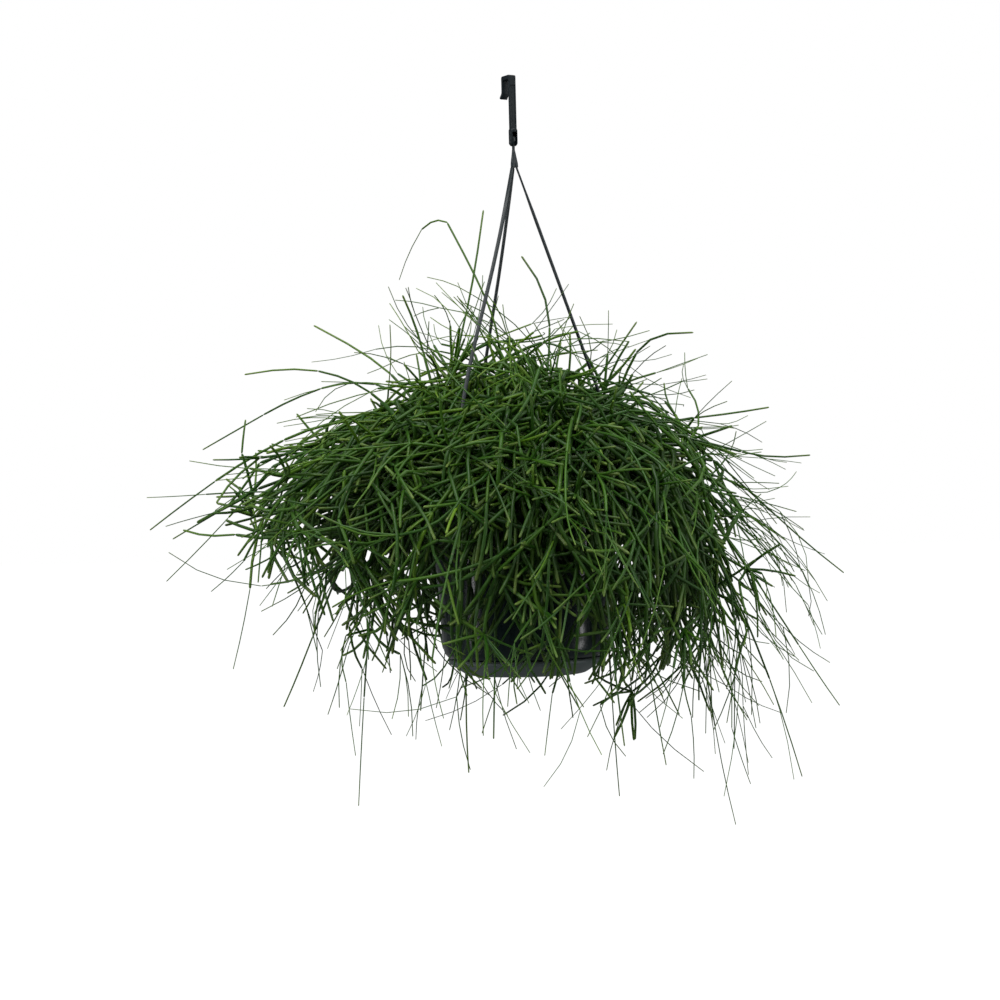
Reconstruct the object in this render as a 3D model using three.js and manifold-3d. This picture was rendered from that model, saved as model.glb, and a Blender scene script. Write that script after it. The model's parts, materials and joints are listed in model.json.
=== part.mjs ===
// A mistletoe cactus in a hanging pot: a swivel hook, a three-strand hanger, a pot
// with a snap-on saucer, soil, and rooted clumps of thin forking stems.
// Millimetres, +Z up. The origin is the middle of the hook's seat, where the rod goes.
import * as THREE from 'three';
import { mergeVertices } from 'three/addons/utils/BufferGeometryUtils.js';
import Module from 'manifold-3d';

const wasm = await Module();
wasm.setup();
const radians = THREE.MathUtils.degToRad;

// ---- driving dimensions -------------------------------------------------------

const gap = 0.3; // between pieces that touch

const hookSize = {
  width: 5.6, // across the strip
  thick: 1.6,
  mouth: 7.4, // clear width over the rod
  bar: 3.0, // height of the top bar above the seat
  corner: 1.4,
  legDrop: 9.4, // from the seat to the end of the leg
  lipDrop: 3.4,
  lipFlare: 2.6,
  turn: radians(122), // which way the leg points, about +Z
};

const cage = {
  top: -34.5,
  bottom: -47,
  radius: 3.1,
  floor: -44.2, // the ledge that the knob rests on
  windowTop: -37.2,
  windowHalf: 2.0,
  bore: 1.35,
  slit: 2.2,
  sides: 14,
};

const hub = { knob: 1.7, knobTop: -40.2, neck: 1.0, neckEnd: -49.5, webEnd: -62, web: 3.1, sides: 12 };

const strand = {
  width: 2.6,
  thick: 1.4,
  rootRadius: 1.9,
  directions: [-5, 115, 235], // degrees about +Z
  bulge: [0, 25, 25], // how far the stems push each strand out, mm in its lower half
  steps: 9,
  barbWidth: 5.2,
  barbThick: 2.2,
  barbHeight: 2.4,
};

const pot = {
  rim: -284,
  clipRadius: 74.6,
  flangeRadius: 79.5,
  flangeThick: 2.0,
  lipDrop: 8.5,
  wall: 1.5,
  floor: -120, // underside of the floor, below the rim
  sides: 28,
  inside: 52, // radius of the floor inside
  floorThick: 2,
  skirt: { radius: 46.5, drop: 5.4, bead: 0.8, beadDrop: 4.0 }, // snaps into the saucer's lip
  drain: { radius: 3.6, ring: 30, count: 5, sides: 8 },
};

// Heights of the saucer and the soil are below the rim
const saucer = { top: -120.6, foot: -132, footRadius: 41.5, radius: 54.2, lip: 48.5, wall: 1.4 };

const soil = { edge: -13, middle: -9.5, reach: 66, clearance: 0.4 };

const crown = {
  radius: 4.4,
  narrowing: 0.8, // of the radius, at the top
  depth: 11, // in the soil
  rise: 6, // above it
  ring: 40, // radius of the circle of crowns round the middle one
  count: 6,
  firstDirection: 25,
  sides: 7,
  holeSides: 8,
};

// How far the mass of stems reaches from its middle, mm, by elevation in degrees and by side.
const mass = {
  middle: -303,
  elevations: [-90, -60, -46, -25, -10, 0, 10, 25, 40, 60, 90],
  east: [118, 150, 196, 176, 156, 148, 141, 129, 119, 112, 106],
  west: [118, 136, 142, 152, 172, 206, 190, 140, 118, 114, 108],
  front: [112, 150, 158, 158, 154, 150, 144, 134, 124, 115, 106], // and the back
};

// Rows of stems, each from a crown to an end in the outer part of the mass or past it
const shoots = {
  seed: 7,
  clearance: 0.7,
  count: 190,
  choices: 24, // places drawn for the end of a shoot, of which the emptiest is taken
  lowest: { side: -62, front: -58 }, // tilts of the ends, seen from the middle of the mass, degrees
  depth: [0.7, 1], // of the mass's reach
  beside: 7, // room between an end and the pot
  gather: 0.36, // how far out the crown is, as a share of the end's distance
  stray: 26, // how far from there it is picked, mm
  rise: [48, 74], // degrees up at the crown
  leave: [0.35, 0.75], // lengths of the curve's handles, as shares of the straight distance
  arrive: [0.3, 0.7],
  sag: [0.1, 0.8],
  fall: 1.6, // more of it for an end that is straight below
  waver: 0.8,
  bend: 0.2,
  farther: 0.35, // of the last two, for the ends that stand out furthest
  joint: 52, // length of a stem
  radii: [1.8, 1.7, 1.6, 1.5, 1.35, 1.2, 1.1],
  guides: 80, // curves tried for a shoot
  tries: 10, // places tried for the end of a stem
  dodge: 1.2, // how much further away each is, mm
  // Ends of the stems that stand out furthest, from the middle of the mass
  farEnds: [
    [-48, 20, 206], [-22, -15, 210], [4, 30, 182], [-79, -30, 151], [85, 25, 133], [120, -35, 120],
    [-146, 40, 137], [-189, -30, 99], [-229, 50, 50], [-259, -10, -5], [-256, 40, -44], [178, 30, 70],
    [196, -50, 34], [227, 20, -49], [210, -40, -134], [-175, 50, -137], [-108, -60, -188], [-43, 70, -190],
    [12, -75, -202], [67, 80, -211], [147, 30, -227], [190, -20, -186], [30, -215, -20], [-60, -190, -90],
    [40, 200, -40], [-30, 215, 20], [90, -170, 40], [-90, 170, 70], [60, -150, -150], [-50, 160, -160],
    [-25, -110, -150], [35, 105, -155], [85, -95, -175], [-75, 90, -150],
  ],
};

// Stems that leave the joints of the shoots
const branches = {
  share: 0.28, // of the stems that carry one, in each round
  rounds: 2,
  rootShare: 0.45, // of the parent's radius, where it starts
  radius: 0.88, // of the parent's
  turn: [20, 55], // degrees away from the parent
  length: [26, 60],
  shortening: 0.05, // at each try
  sag: 0.3,
  rate: 0.006, // how fast it turns outwards, per mm
  beyond: 1.03, // of the mass's reach
};

// ---- solids -------------------------------------------------------------------

function solidOf(geometry) {
  const shared = geometry.clone();
  shared.deleteAttribute('normal');
  shared.deleteAttribute('uv');
  const merged = mergeVertices(shared, 1e-5);
  return new wasm.Manifold(new wasm.Mesh({
    numProp: 3,
    vertProperties: new Float32Array(merged.attributes.position.array),
    triVerts: new Uint32Array(merged.index.array),
  }));
}

function geometryOf(solid) {
  const mesh = solid.getMesh();
  const geometry = new THREE.BufferGeometry();
  geometry.setAttribute('position', new THREE.BufferAttribute(new Float32Array(mesh.vertProperties), 3));
  geometry.setIndex(new THREE.BufferAttribute(new Uint32Array(mesh.triVerts), 1));
  return geometry;
}

const join = (solids) => solids.reduce((whole, next) => whole.add(next));

function piece(name, geometry, { color, roughness }) {
  const bare = geometry.clone();
  bare.deleteAttribute('uv');
  const mesh = new THREE.Mesh(bare, new THREE.MeshStandardMaterial({ color, roughness, metalness: 0 }));
  mesh.name = name;
  return mesh;
}

const plastic = { color: 0x20272b, roughness: 0.42 };
const strandPlastic = { color: 0x2b3134, roughness: 0.5 };
const saucerPlastic = { color: 0x3c4344, roughness: 0.55 };
const earth = { color: 0x2f241b, roughness: 0.95 };
const stemSkin = { color: 0x3f6a2a, roughness: 0.55 };

// Turns a closed [radius, height] profile about Z.
function turned(profile, sides) {
  const points = profile.map(([radius, height]) => new THREE.Vector2(radius, height));
  return new THREE.LatheGeometry(points, sides).rotateX(Math.PI / 2);
}

function upright(radius, low, high, sides, x = 0, y = 0) {
  const cylinder = new THREE.CylinderGeometry(radius, radius, high - low, sides);
  return cylinder.rotateX(Math.PI / 2).translate(x, y, (low + high) / 2);
}

function block(sizeX, sizeY, sizeZ, x, y, z) {
  return new THREE.BoxGeometry(sizeX, sizeY, sizeZ).translate(x, y, z);
}

// A [x, z] outline made as thick as width along Y, and centred on Y = 0.
function slab(outline, width) {
  const shape = new THREE.Shape(outline.map(([x, z]) => new THREE.Vector2(x, z)));
  const geometry = new THREE.ExtrudeGeometry(shape, { depth: width, bevelEnabled: false });
  return geometry.rotateX(Math.PI / 2).translate(0, width / 2, 0);
}

// ---- hook -----------------------------------------------------------------------

const stripMiddle = -(hookSize.mouth + hookSize.thick) / 2; // the swivel's axis, in the hook's own X

function arc([cx, cz], radius, fromDegrees, toDegrees, steps = 3) {
  return Array.from({ length: steps + 1 }, (_, i) => {
    const angle = radians(fromDegrees + ((toDegrees - fromDegrees) * i) / steps);
    return [cx + radius * Math.cos(angle), cz + radius * Math.sin(angle)];
  });
}

function hookGeometry() {
  const { width, thick, mouth, bar, corner, legDrop, lipDrop, lipFlare } = hookSize;
  const inner = mouth / 2;
  const outer = inner + thick;
  const strip = slab([
    [-outer, cage.top - 1],
    [-inner, cage.top - 1],
    [-inner, 0],
    [inner, 0],
    [inner, -legDrop],
    [inner + lipFlare, -legDrop - lipDrop],
    [outer + lipFlare, -legDrop - lipDrop + 1],
    [outer, -legDrop + 0.8],
    ...arc([outer - corner, bar - corner], corner, 0, 90),
    ...arc([-outer + corner, bar - corner], corner, 90, 180),
  ], width);

  const { top, bottom, radius, floor, windowTop, windowHalf, bore, slit, sides } = cage;
  const rounded = turned([
    [0, bottom],
    [radius * 0.62, bottom],
    [radius, bottom + 1.6],
    [radius, top - 1.2],
    [radius * 0.75, top],
    [0, top],
  ], sides);
  const windowSize = [3 * radius, 2 * windowHalf, windowTop - floor];
  const sleeve = solidOf(rounded)
    .subtract(solidOf(block(...windowSize, 0, 0, (windowTop + floor) / 2)))
    .subtract(solidOf(upright(bore, bottom - 1, floor + 1, sides)))
    .subtract(solidOf(block(2 * radius, slit, floor - bottom + 2, -radius, 0, (floor + bottom) / 2)));
  return geometryOf(solidOf(strip).add(sleeve.translate(stripMiddle, 0, 0)));
}

// ---- hanger ---------------------------------------------------------------------

function hubGeometry() {
  const { knob, knobTop, neck, neckEnd, webEnd, web, sides } = hub;
  const seat = cage.floor + gap;
  return turned([
    [0, webEnd],
    [web, webEnd],
    [web * 0.93, webEnd + 3],
    [neck, neckEnd],
    [neck, seat],
    [knob, seat],
    [knob, knobTop - knob * 0.5],
    [knob * 0.6, knobTop],
    [0, knobTop],
  ], sides);
}

// The strand's middle line in its own upright plane, as [radius, height] points.
function strandLine(bulge) {
  const top = hub.webEnd - gap;
  const bend = pot.rim + 7;
  const points = Array.from({ length: strand.steps + 1 }, (_, i) => {
    const t = i / strand.steps;
    const straight = strand.rootRadius + (pot.clipRadius - strand.rootRadius) * t;
    return [straight + bulge * t * t * Math.sin(Math.PI * t), top + (bend - top) * t];
  });
  return bulge === 0 ? [points[0], points[strand.steps]] : points;
}

function strandGeometry(bulge) {
  const { thick, width, barbWidth, barbThick, barbHeight } = strand;
  const line = strandLine(bulge);
  const end = pot.rim - pot.flangeThick - gap;
  const side = (offset) => line.map(([radius, height]) => [radius + offset, height]);
  const inside = [...side(-thick / 2), [pot.clipRadius - thick / 2, end - barbHeight]];
  const outside = [...side(thick / 2), [pot.clipRadius + thick / 2, end - barbHeight]];
  const strap = solidOf(slab([...inside, ...outside.reverse()], width));
  const barb = block(barbThick, barbWidth, barbHeight, pot.clipRadius, 0, end - barbHeight / 2);
  return geometryOf(strap.add(solidOf(barb)));
}

// ---- pot, saucer and soil ---------------------------------------------------------

// Outside of the wall from the foot to the flange, [radius, height below the rim].
const wallLine = [
  [53.6, pot.floor - 0.1],
  [56.6, -117],
  [58.3, -110],
  [60.0, -72],
  [63.6, -36],
  [68.4, -14],
  [70.6, -pot.flangeThick],
];

function potGeometry() {
  const { rim, clipRadius, flangeRadius, flangeThick, lipDrop, wall, floor, sides, skirt, drain } = pot;
  const floorTop = floor + pot.floorThick;
  const inside = wallLine.slice(1, -1).map(([radius, height]) => [radius - wall, height]).reverse();
  const shell = solidOf(turned([
    [0, floor],
    [skirt.radius, floor],
    [skirt.radius, floor - skirt.drop],
    [skirt.radius + 1.1, floor - skirt.drop],
    [saucer.lip + skirt.bead, floor - skirt.beadDrop],
    [saucer.lip - 0.5, floor - 2.8],
    [saucer.lip - 0.5, floor - 0.1],
    ...wallLine,
    [flangeRadius - 1.2, -flangeThick],
    [flangeRadius - 1.2, -lipDrop],
    [flangeRadius, -lipDrop],
    [flangeRadius, -0.9],
    [flangeRadius - 0.9, 0],
    [70.4, 0],
    [69.0, -1.4],
    ...inside,
    [pot.inside, floorTop],
    [0, floorTop],
  ].map(([radius, height]) => [radius, height + rim]), sides));
  const slots = strand.directions.map((direction) => {
    const slot = block(strand.thick + 2 * gap, strand.width + 2 * gap, 3 * flangeThick, clipRadius, 0, rim);
    return solidOf(slot.rotateZ(radians(direction)));
  });
  const drains = Array.from({ length: drain.count }, (_, i) => {
    const angle = (2 * Math.PI * i) / drain.count;
    const [x, y] = [drain.ring * Math.cos(angle), drain.ring * Math.sin(angle)];
    return solidOf(upright(drain.radius, rim + floor - 1, rim + floorTop + 1, drain.sides, x, y));
  });
  return geometryOf([...slots, ...drains].reduce((body, hole) => body.subtract(hole), shell));
}

function saucerGeometry() {
  const { top, foot, footRadius, radius, lip, wall } = saucer;
  return turned([
    [0, foot],
    [footRadius, foot],
    [radius - 0.5, top - 3.2],
    [radius, top - 1.4],
    [radius - 1, top],
    [lip, top],
    [lip, top - 1.8],
    [radius - 2.2, top - 2.4],
    [footRadius + 0.4, foot + wall],
    [0, foot + wall],
  ].map(([r, z]) => [r, z + pot.rim]), pot.sides);
}

function crownPlaces() {
  const around = Array.from({ length: crown.count }, (_, i) => {
    const angle = radians(crown.firstDirection + (360 * i) / crown.count);
    return [crown.ring * Math.cos(angle), crown.ring * Math.sin(angle)];
  });
  return [[0, 0], ...around];
}

function soilHeight(x, y) {
  const share = Math.min(1, Math.hypot(x, y) / soil.reach);
  return pot.rim + soil.middle + (soil.edge - soil.middle) * share;
}

function soilGeometry() {
  const inset = pot.wall + soil.clearance;
  const side = wallLine.slice(1, -1).map(([radius, height]) => [radius - inset, height]);
  const edge = side.pop();
  const bottom = pot.floor + pot.floorThick + soil.clearance;
  const ball = solidOf(turned([
    [0, bottom],
    [pot.inside - soil.clearance, bottom],
    ...side,
    [edge[0] + 0.1, soil.edge],
    [0, soil.middle],
  ].map(([radius, height]) => [radius, height + pot.rim]), pot.sides));
  const holes = crownPlaces().map(([x, y]) => {
    const ground = soilHeight(x, y);
    const [low, high] = [ground - crown.depth - gap, ground + 5];
    return solidOf(upright(crown.radius + 2 * gap, low, high, crown.holeSides, x, y));
  });
  return geometryOf(holes.reduce((body, hole) => body.subtract(hole), ball));
}

// ---- plant ------------------------------------------------------------------------

function seededRandom(seed) {
  let state = seed >>> 0;
  return () => {
    state = (state + 0x6d2b79f5) >>> 0;
    let mixed = Math.imul(state ^ (state >>> 15), state | 1);
    mixed ^= mixed + Math.imul(mixed ^ (mixed >>> 7), mixed | 61);
    return ((mixed ^ (mixed >>> 14)) >>> 0) / 4294967296;
  };
}

const random = seededRandom(shoots.seed);
const between = (low, high) => low + (high - low) * random();

// Radius of a [radius, height] line at a height above the rim, or 0 past its ends.
function radiusAt(line, height) {
  for (let i = 1; i < line.length; i += 1) {
    const [r0, z0] = line[i - 1];
    const [r1, z1] = line[i];
    if (height >= z0 && height <= z1) return r0 + ((r1 - r0) * (height - z0)) / (z1 - z0);
  }
  return 0;
}

const potOutside = [
  [saucer.footRadius, saucer.foot - 4],
  [saucer.radius, saucer.top],
  ...wallLine.slice(0, -1),
  [wallLine.at(-2)[0], -pot.lipDrop - 2],
  [pot.flangeRadius, -pot.lipDrop - 1.9],
  [pot.flangeRadius, 2],
];

// True where a stem of this radius has room beside the pot and over the soil.
function clearOfPot(point, radius) {
  const height = point.z - pot.rim;
  const out = Math.hypot(point.x, point.y);
  const room = radius + shoots.clearance;
  if (out > pot.flangeRadius + 2 + room || height > 2 + room) return true;
  const mouth = wallLine.at(-1)[0] - pot.wall - room - 1;
  if (out < mouth && point.z > soilHeight(point.x, point.y) + room) return true;
  const widest = Math.max(radiusAt(potOutside, height), radiusAt(potOutside, height + room));
  return out > widest + room;
}

const strandPaths = strand.directions.map((direction, i) => {
  const [cos, sin] = [Math.cos(radians(direction)), Math.sin(radians(direction))];
  const line = [...strandLine(strand.bulge[i]), [pot.clipRadius, pot.rim]];
  return line.map(([radius, height]) => new THREE.Vector3(radius * cos, radius * sin, height));
});

// Shortest distance between segments a-b and c-d.
function segmentDistance(a, b, c, d) {
  const u = b.clone().sub(a);
  const v = d.clone().sub(c);
  const w = a.clone().sub(c);
  const [uu, uv, vv, uw, vw] = [u.dot(u), u.dot(v), v.dot(v), u.dot(w), v.dot(w)];
  const flat = uu * vv - uv * uv;
  let s = flat > 1e-9 ? THREE.MathUtils.clamp((uv * vw - vv * uw) / flat, 0, 1) : 0;
  const t = THREE.MathUtils.clamp((uv * s + vw) / vv, 0, 1);
  s = THREE.MathUtils.clamp((uv * t - uw) / uu, 0, 1);
  return w.addScaledVector(u, s).addScaledVector(v, -t).length();
}

function headingOf(direction, tilt) {
  return new THREE.Vector3(
    Math.cos(tilt) * Math.cos(direction),
    Math.cos(tilt) * Math.sin(direction),
    Math.sin(tilt),
  );
}

// A heading turned by an angle away from its line, towards a roll round it.
function turnedHeading(heading, angle, roll) {
  const side = new THREE.Vector3(0, 0, 1).cross(heading);
  if (side.length() < 1e-3) side.set(1, 0, 0);
  side.normalize().applyAxisAngle(heading, roll);
  return heading.clone().applyAxisAngle(side, angle).normalize();
}

function anyVector(size) {
  return new THREE.Vector3(between(-size, size), between(-size, size), between(-size, size));
}

// Reach of the mass along a heading, between that of its side and that of its front.
function massReach(heading) {
  const tilt = THREE.MathUtils.radToDeg(Math.asin(heading.z));
  const { elevations } = mass;
  let above = 1;
  while (above < elevations.length - 1 && elevations[above] < tilt) above += 1;
  const step = (tilt - elevations[above - 1]) / (elevations[above] - elevations[above - 1]);
  const at = (reaches) => THREE.MathUtils.lerp(reaches[above - 1], reaches[above], step);
  const sideways = heading.x ** 2 / (heading.x ** 2 + heading.y ** 2);
  return THREE.MathUtils.lerp(at(mass.front), at(heading.x > 0 ? mass.east : mass.west), sideways);
}

const massMiddle = new THREE.Vector3(0, 0, mass.middle);

function clearOfPieces(points, radius) {
  for (let i = 1; i < points.length; i += 1) {
    for (let step = 0; step <= 6; step += 1) {
      const point = points[i - 1].clone().lerp(points[i], step / 6);
      if (!clearOfPot(point, radius)) return false;
    }
    const room = radius + strand.width / 2 + shoots.clearance;
    for (const path of strandPaths) {
      for (let k = 1; k < path.length; k += 1) {
        if (segmentDistance(points[i - 1], points[i], path[k - 1], path[k]) < room) return false;
      }
    }
  }
  return true;
}

// Stems that leave from the same place only have to part beyond it.
function clearOfStems({ clump, parent, points, radius }, stems) {
  const reach = points[1].distanceTo(points[0]);
  for (const other of stems) {
    if (other === parent) continue;
    const otherReach = other.points[1].distanceTo(other.points[0]);
    const farthest = reach + otherReach + radius + other.radius + shoots.clearance;
    if (other.points[1].distanceTo(points[1]) > farthest) continue;
    const near = other.clump === clump && other.parent === parent;
    const room = radius + other.radius + shoots.clearance;
    for (let i = near ? 2 : 1; i < 3; i += 1) {
      for (let k = near ? 2 : 1; k < 3; k += 1) {
        if (segmentDistance(points[i - 1], points[i], other.points[k - 1], other.points[k]) < room) {
          return false;
        }
      }
    }
  }
  return true;
}

function stands(stem, stems) {
  return clearOfPieces(stem.points, stem.radius) && clearOfStems(stem, stems);
}

// A curve that rises from a crown and bends over to its end in or past the mass.
function guideTo(end, from, loose) {
  const { rise, leave, arrive, sag, fall, waver, bend } = shoots;
  const outward = end.clone().sub(massMiddle).normalize();
  const direction = Math.atan2(outward.y, outward.x);
  const tilt = Math.max(Math.asin(outward.z), radians(between(...rise)));
  const span = end.distanceTo(from);
  const first = from.clone().addScaledVector(headingOf(direction, tilt), span * between(...leave));
  const coming = outward.clone().add(anyVector(waver * loose));
  coming.z -= between(...sag) + fall * Math.max(0, -outward.z);
  const last = end.clone().addScaledVector(coming.normalize(), -span * between(...arrive));
  first.addScaledVector(anyVector(bend * loose), span);
  last.addScaledVector(anyVector(bend * loose), span);
  return new THREE.CubicBezierCurve3(from, first, last, end);
}

// Stems from joint to joint along a curve. One that would touch another ends a little away from it.
function shootAlong(guide, clump, stems) {
  const { joint, radii, tries, dodge } = shoots;
  const line = guide.getPoints(24);
  const length = line.slice(1).reduce((sum, point, i) => sum + point.distanceTo(line[i]), 0);
  const count = THREE.MathUtils.clamp(Math.round(length / joint), 1, radii.length);
  const drift = new THREE.Vector3();
  const shoot = [];
  for (let order = 0; order < count; order += 1) {
    const parent = shoot.at(-1) ?? null;
    const radius = radii[order];
    for (let attempt = 0; attempt < tries; attempt += 1) {
      const shift = anyVector(dodge * attempt);
      const middle = guide.getPoint((order + 0.5) / count).add(drift).addScaledVector(shift, 0.5);
      const end = guide.getPoint((order + 1) / count).add(drift).add(shift);
      const points = [parent ? parent.points[2] : guide.getPoint(0), middle, end];
      const stem = { clump, parent, points, radius, order, leads: order > 0 };
      if (stands(stem, [...stems, ...shoot])) {
        drift.add(shift);
        shoot.push(stem);
        break;
      }
    }
    if (shoot.length <= order) break;
  }
  return shoot.length > count / 2 ? shoot : [];
}

// The first of a few curves to an end that has room beside the pot and that most of a shoot can follow.
function shootTo(end, clump, from, loose, stems) {
  for (let attempt = 0; attempt < shoots.guides; attempt += 1) {
    const guide = guideTo(end, from, loose);
    if (clearOfPieces(guide.getPoints(12), shoots.radii[0])) {
      const shoot = shootAlong(guide, clump, stems);
      if (shoot.length > 0) return shoot;
    }
  }
  return [];
}

// A place in the outer part of the mass, or null where the pot is.
function anyEnd() {
  const { lowest, depth, beside } = shoots;
  const direction = between(-Math.PI, Math.PI);
  const low = radians(THREE.MathUtils.lerp(lowest.front, lowest.side, Math.cos(direction) ** 2));
  const heading = headingOf(direction, Math.asin(between(Math.sin(low), 1)));
  const end = massMiddle.clone().addScaledVector(heading, massReach(heading) * between(...depth));
  return clearOfPot(end, beside) ? end : null;
}

// Of a few places, the one furthest from the ends so far.
function emptiestEnd(ends) {
  let [best, most] = [null, 0];
  for (let choice = 0; choice < shoots.choices; choice += 1) {
    const end = anyEnd();
    const room = end ? Math.min(...ends.map((other) => other.distanceTo(end))) : 0;
    if (room > most) [best, most] = [end, room];
  }
  return best;
}

// A stem leaves the end of another and turns outwards. Where the other was a tip, this one carries it on.
function sideStem(parent, stems) {
  const { turn, length, shortening, sag, rate, beyond } = branches;
  const radius = parent.radius * branches.radius;
  const leads = !stems.some((other) => other.parent === parent);
  const [, from, to] = parent.points;
  const lean = to.clone().sub(massMiddle).normalize();
  lean.z -= sag;
  lean.normalize();
  for (let attempt = 0; attempt < shoots.tries; attempt += 1) {
    const along = to.clone().sub(from).normalize();
    const way = turnedHeading(along, radians(between(...turn)), between(0, 2 * Math.PI));
    const half = (between(...length) * (1 - shortening * attempt)) / 2;
    const points = [to];
    for (let i = 0; i < 2; i += 1) {
      way.addScaledVector(lean.clone().sub(way), rate * half).normalize();
      points.push(points[i].clone().addScaledVector(way, half));
    }
    const end = points[2].clone().sub(massMiddle);
    const inside = end.length() < massReach(end.clone().normalize()) * beyond;
    const stem = { clump: parent.clump, parent, points, radius, order: parent.order + 1, leads };
    if (inside && stands(stem, stems)) return stem;
  }
  return null;
}

function growPlant() {
  const crowns = crownPlaces().map(([x, y]) => new THREE.Vector3(x, y, soilHeight(x, y) + crown.rise - 1));
  const ends = shoots.farEnds.map((place) => massMiddle.clone().add(new THREE.Vector3(...place)));
  while (ends.length < shoots.count) ends.push(emptiestEnd(ends));
  const stems = [];
  ends.forEach((end, i) => {
    const place = end.clone().multiplyScalar(shoots.gather).add(anyVector(shoots.stray));
    const gaps = crowns.map((from) => Math.hypot(place.x - from.x, place.y - from.y));
    const clump = gaps.indexOf(Math.min(...gaps));
    const loose = i < shoots.farEnds.length ? shoots.farther : 1;
    stems.push(...shootTo(end, clump, crowns[clump], loose, stems));
  });
  for (let round = 0; round < branches.rounds; round += 1) {
    stems.filter(({ order }) => order > 0 && random() < branches.share).forEach((parent) => {
      const stem = sideStem(parent, stems);
      if (stem) stems.push(stem);
    });
  }
  return stems;
}

// A three-sided tube through the points, with a radius at each. The last may be 0.
function tube(points, radii) {
  const sides = 3;
  const positions = [];
  const triangles = [];
  let normal = null;
  points.forEach((point, i) => {
    const before = points[Math.max(0, i - 1)];
    const after = points[Math.min(points.length - 1, i + 1)];
    const along = after.clone().sub(before).normalize();
    if (!normal) normal = turnedHeading(along, Math.PI / 2, 0);
    normal.addScaledVector(along, -normal.dot(along)).normalize();
    const other = along.clone().cross(normal);
    const count = radii[i] === 0 ? 1 : sides;
    for (let k = 0; k < count; k += 1) {
      const turn = (2 * Math.PI * k) / sides;
      const corner = point.clone()
        .addScaledVector(normal, radii[i] * Math.cos(turn))
        .addScaledVector(other, radii[i] * Math.sin(turn));
      positions.push(corner.x, corner.y, corner.z);
    }
  });
  triangles.push(0, 2, 1);
  for (let i = 0; i + 1 < points.length; i += 1) {
    const low = i * sides;
    for (let k = 0; k < sides; k += 1) {
      const next = (k + 1) % sides;
      const high = low + sides;
      if (radii[i + 1] === 0) triangles.push(low + k, low + next, high);
      else triangles.push(low + k, low + next, high + next, low + k, high + next, high + k);
    }
  }
  const geometry = new THREE.BufferGeometry();
  geometry.setAttribute('position', new THREE.Float32BufferAttribute(positions, 3));
  geometry.setIndex(triangles);
  return geometry;
}

// A stem and the leaders that carry it on are one tube.
function leaderTube(first, stems) {
  const chain = [first];
  let next = first;
  while (next) {
    const last = next;
    next = stems.find((stem) => stem.parent === last && stem.leads);
    if (next) chain.push(next);
  }
  const root = first.parent ? first.parent.radius * branches.rootShare : first.radius;
  const points = [first.points[0]];
  const radii = [root];
  chain.forEach((stem, i) => {
    points.push(stem.points[1], stem.points[2]);
    const ends = i === chain.length - 1;
    radii.push(stem.radius, ends ? 0 : (stem.radius + chain[i + 1].radius) / 2);
  });
  return tube(points, radii);
}

function clumpGeometry(clump, [x, y], stems) {
  const ground = soilHeight(x, y);
  const base = new THREE.CylinderGeometry(
    crown.radius * crown.narrowing,
    crown.radius,
    crown.depth + crown.rise,
    crown.sides,
  );
  base.rotateX(Math.PI / 2).translate(x, y, ground + (crown.rise - crown.depth) / 2);
  const own = stems.filter((stem) => stem.clump === clump && !stem.leads);
  const whole = join([solidOf(base), ...own.map((stem) => solidOf(leaderTube(stem, stems)))]);
  // A pocket closed off between the feet of the stems is filled.
  return geometryOf(wasm.Manifold.compose(whole.decompose().filter((shell) => shell.volume() > 0)));
}

// ---- assembly ---------------------------------------------------------------------

const part = new THREE.Group();
const hook = piece('hook', hookGeometry(), plastic);
hook.rotation.z = hookSize.turn;
part.add(hook);

const hanging = new THREE.Group();
hanging.position.set(stripMiddle * Math.cos(hookSize.turn), stripMiddle * Math.sin(hookSize.turn), 0);
hanging.add(piece('hanger_hub', hubGeometry(), strandPlastic));
strand.directions.forEach((direction, i) => {
  const mesh = piece(`hanger_strand_${i + 1}`, strandGeometry(strand.bulge[i]), strandPlastic);
  mesh.rotation.z = radians(direction);
  hanging.add(mesh);
});
hanging.add(piece('pot', potGeometry(), plastic));
hanging.add(piece('saucer', saucerGeometry(), saucerPlastic));
hanging.add(piece('soil', soilGeometry(), earth));
const stems = growPlant();
crownPlaces().forEach((place, clump) => {
  hanging.add(piece(`plant_clump_${clump + 1}`, clumpGeometry(clump, place, stems), stemSkin));
});
part.add(hanging);

export default part;
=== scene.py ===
import json
import math

import bpy
import numpy as np
from mathutils import Matrix, Vector

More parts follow.
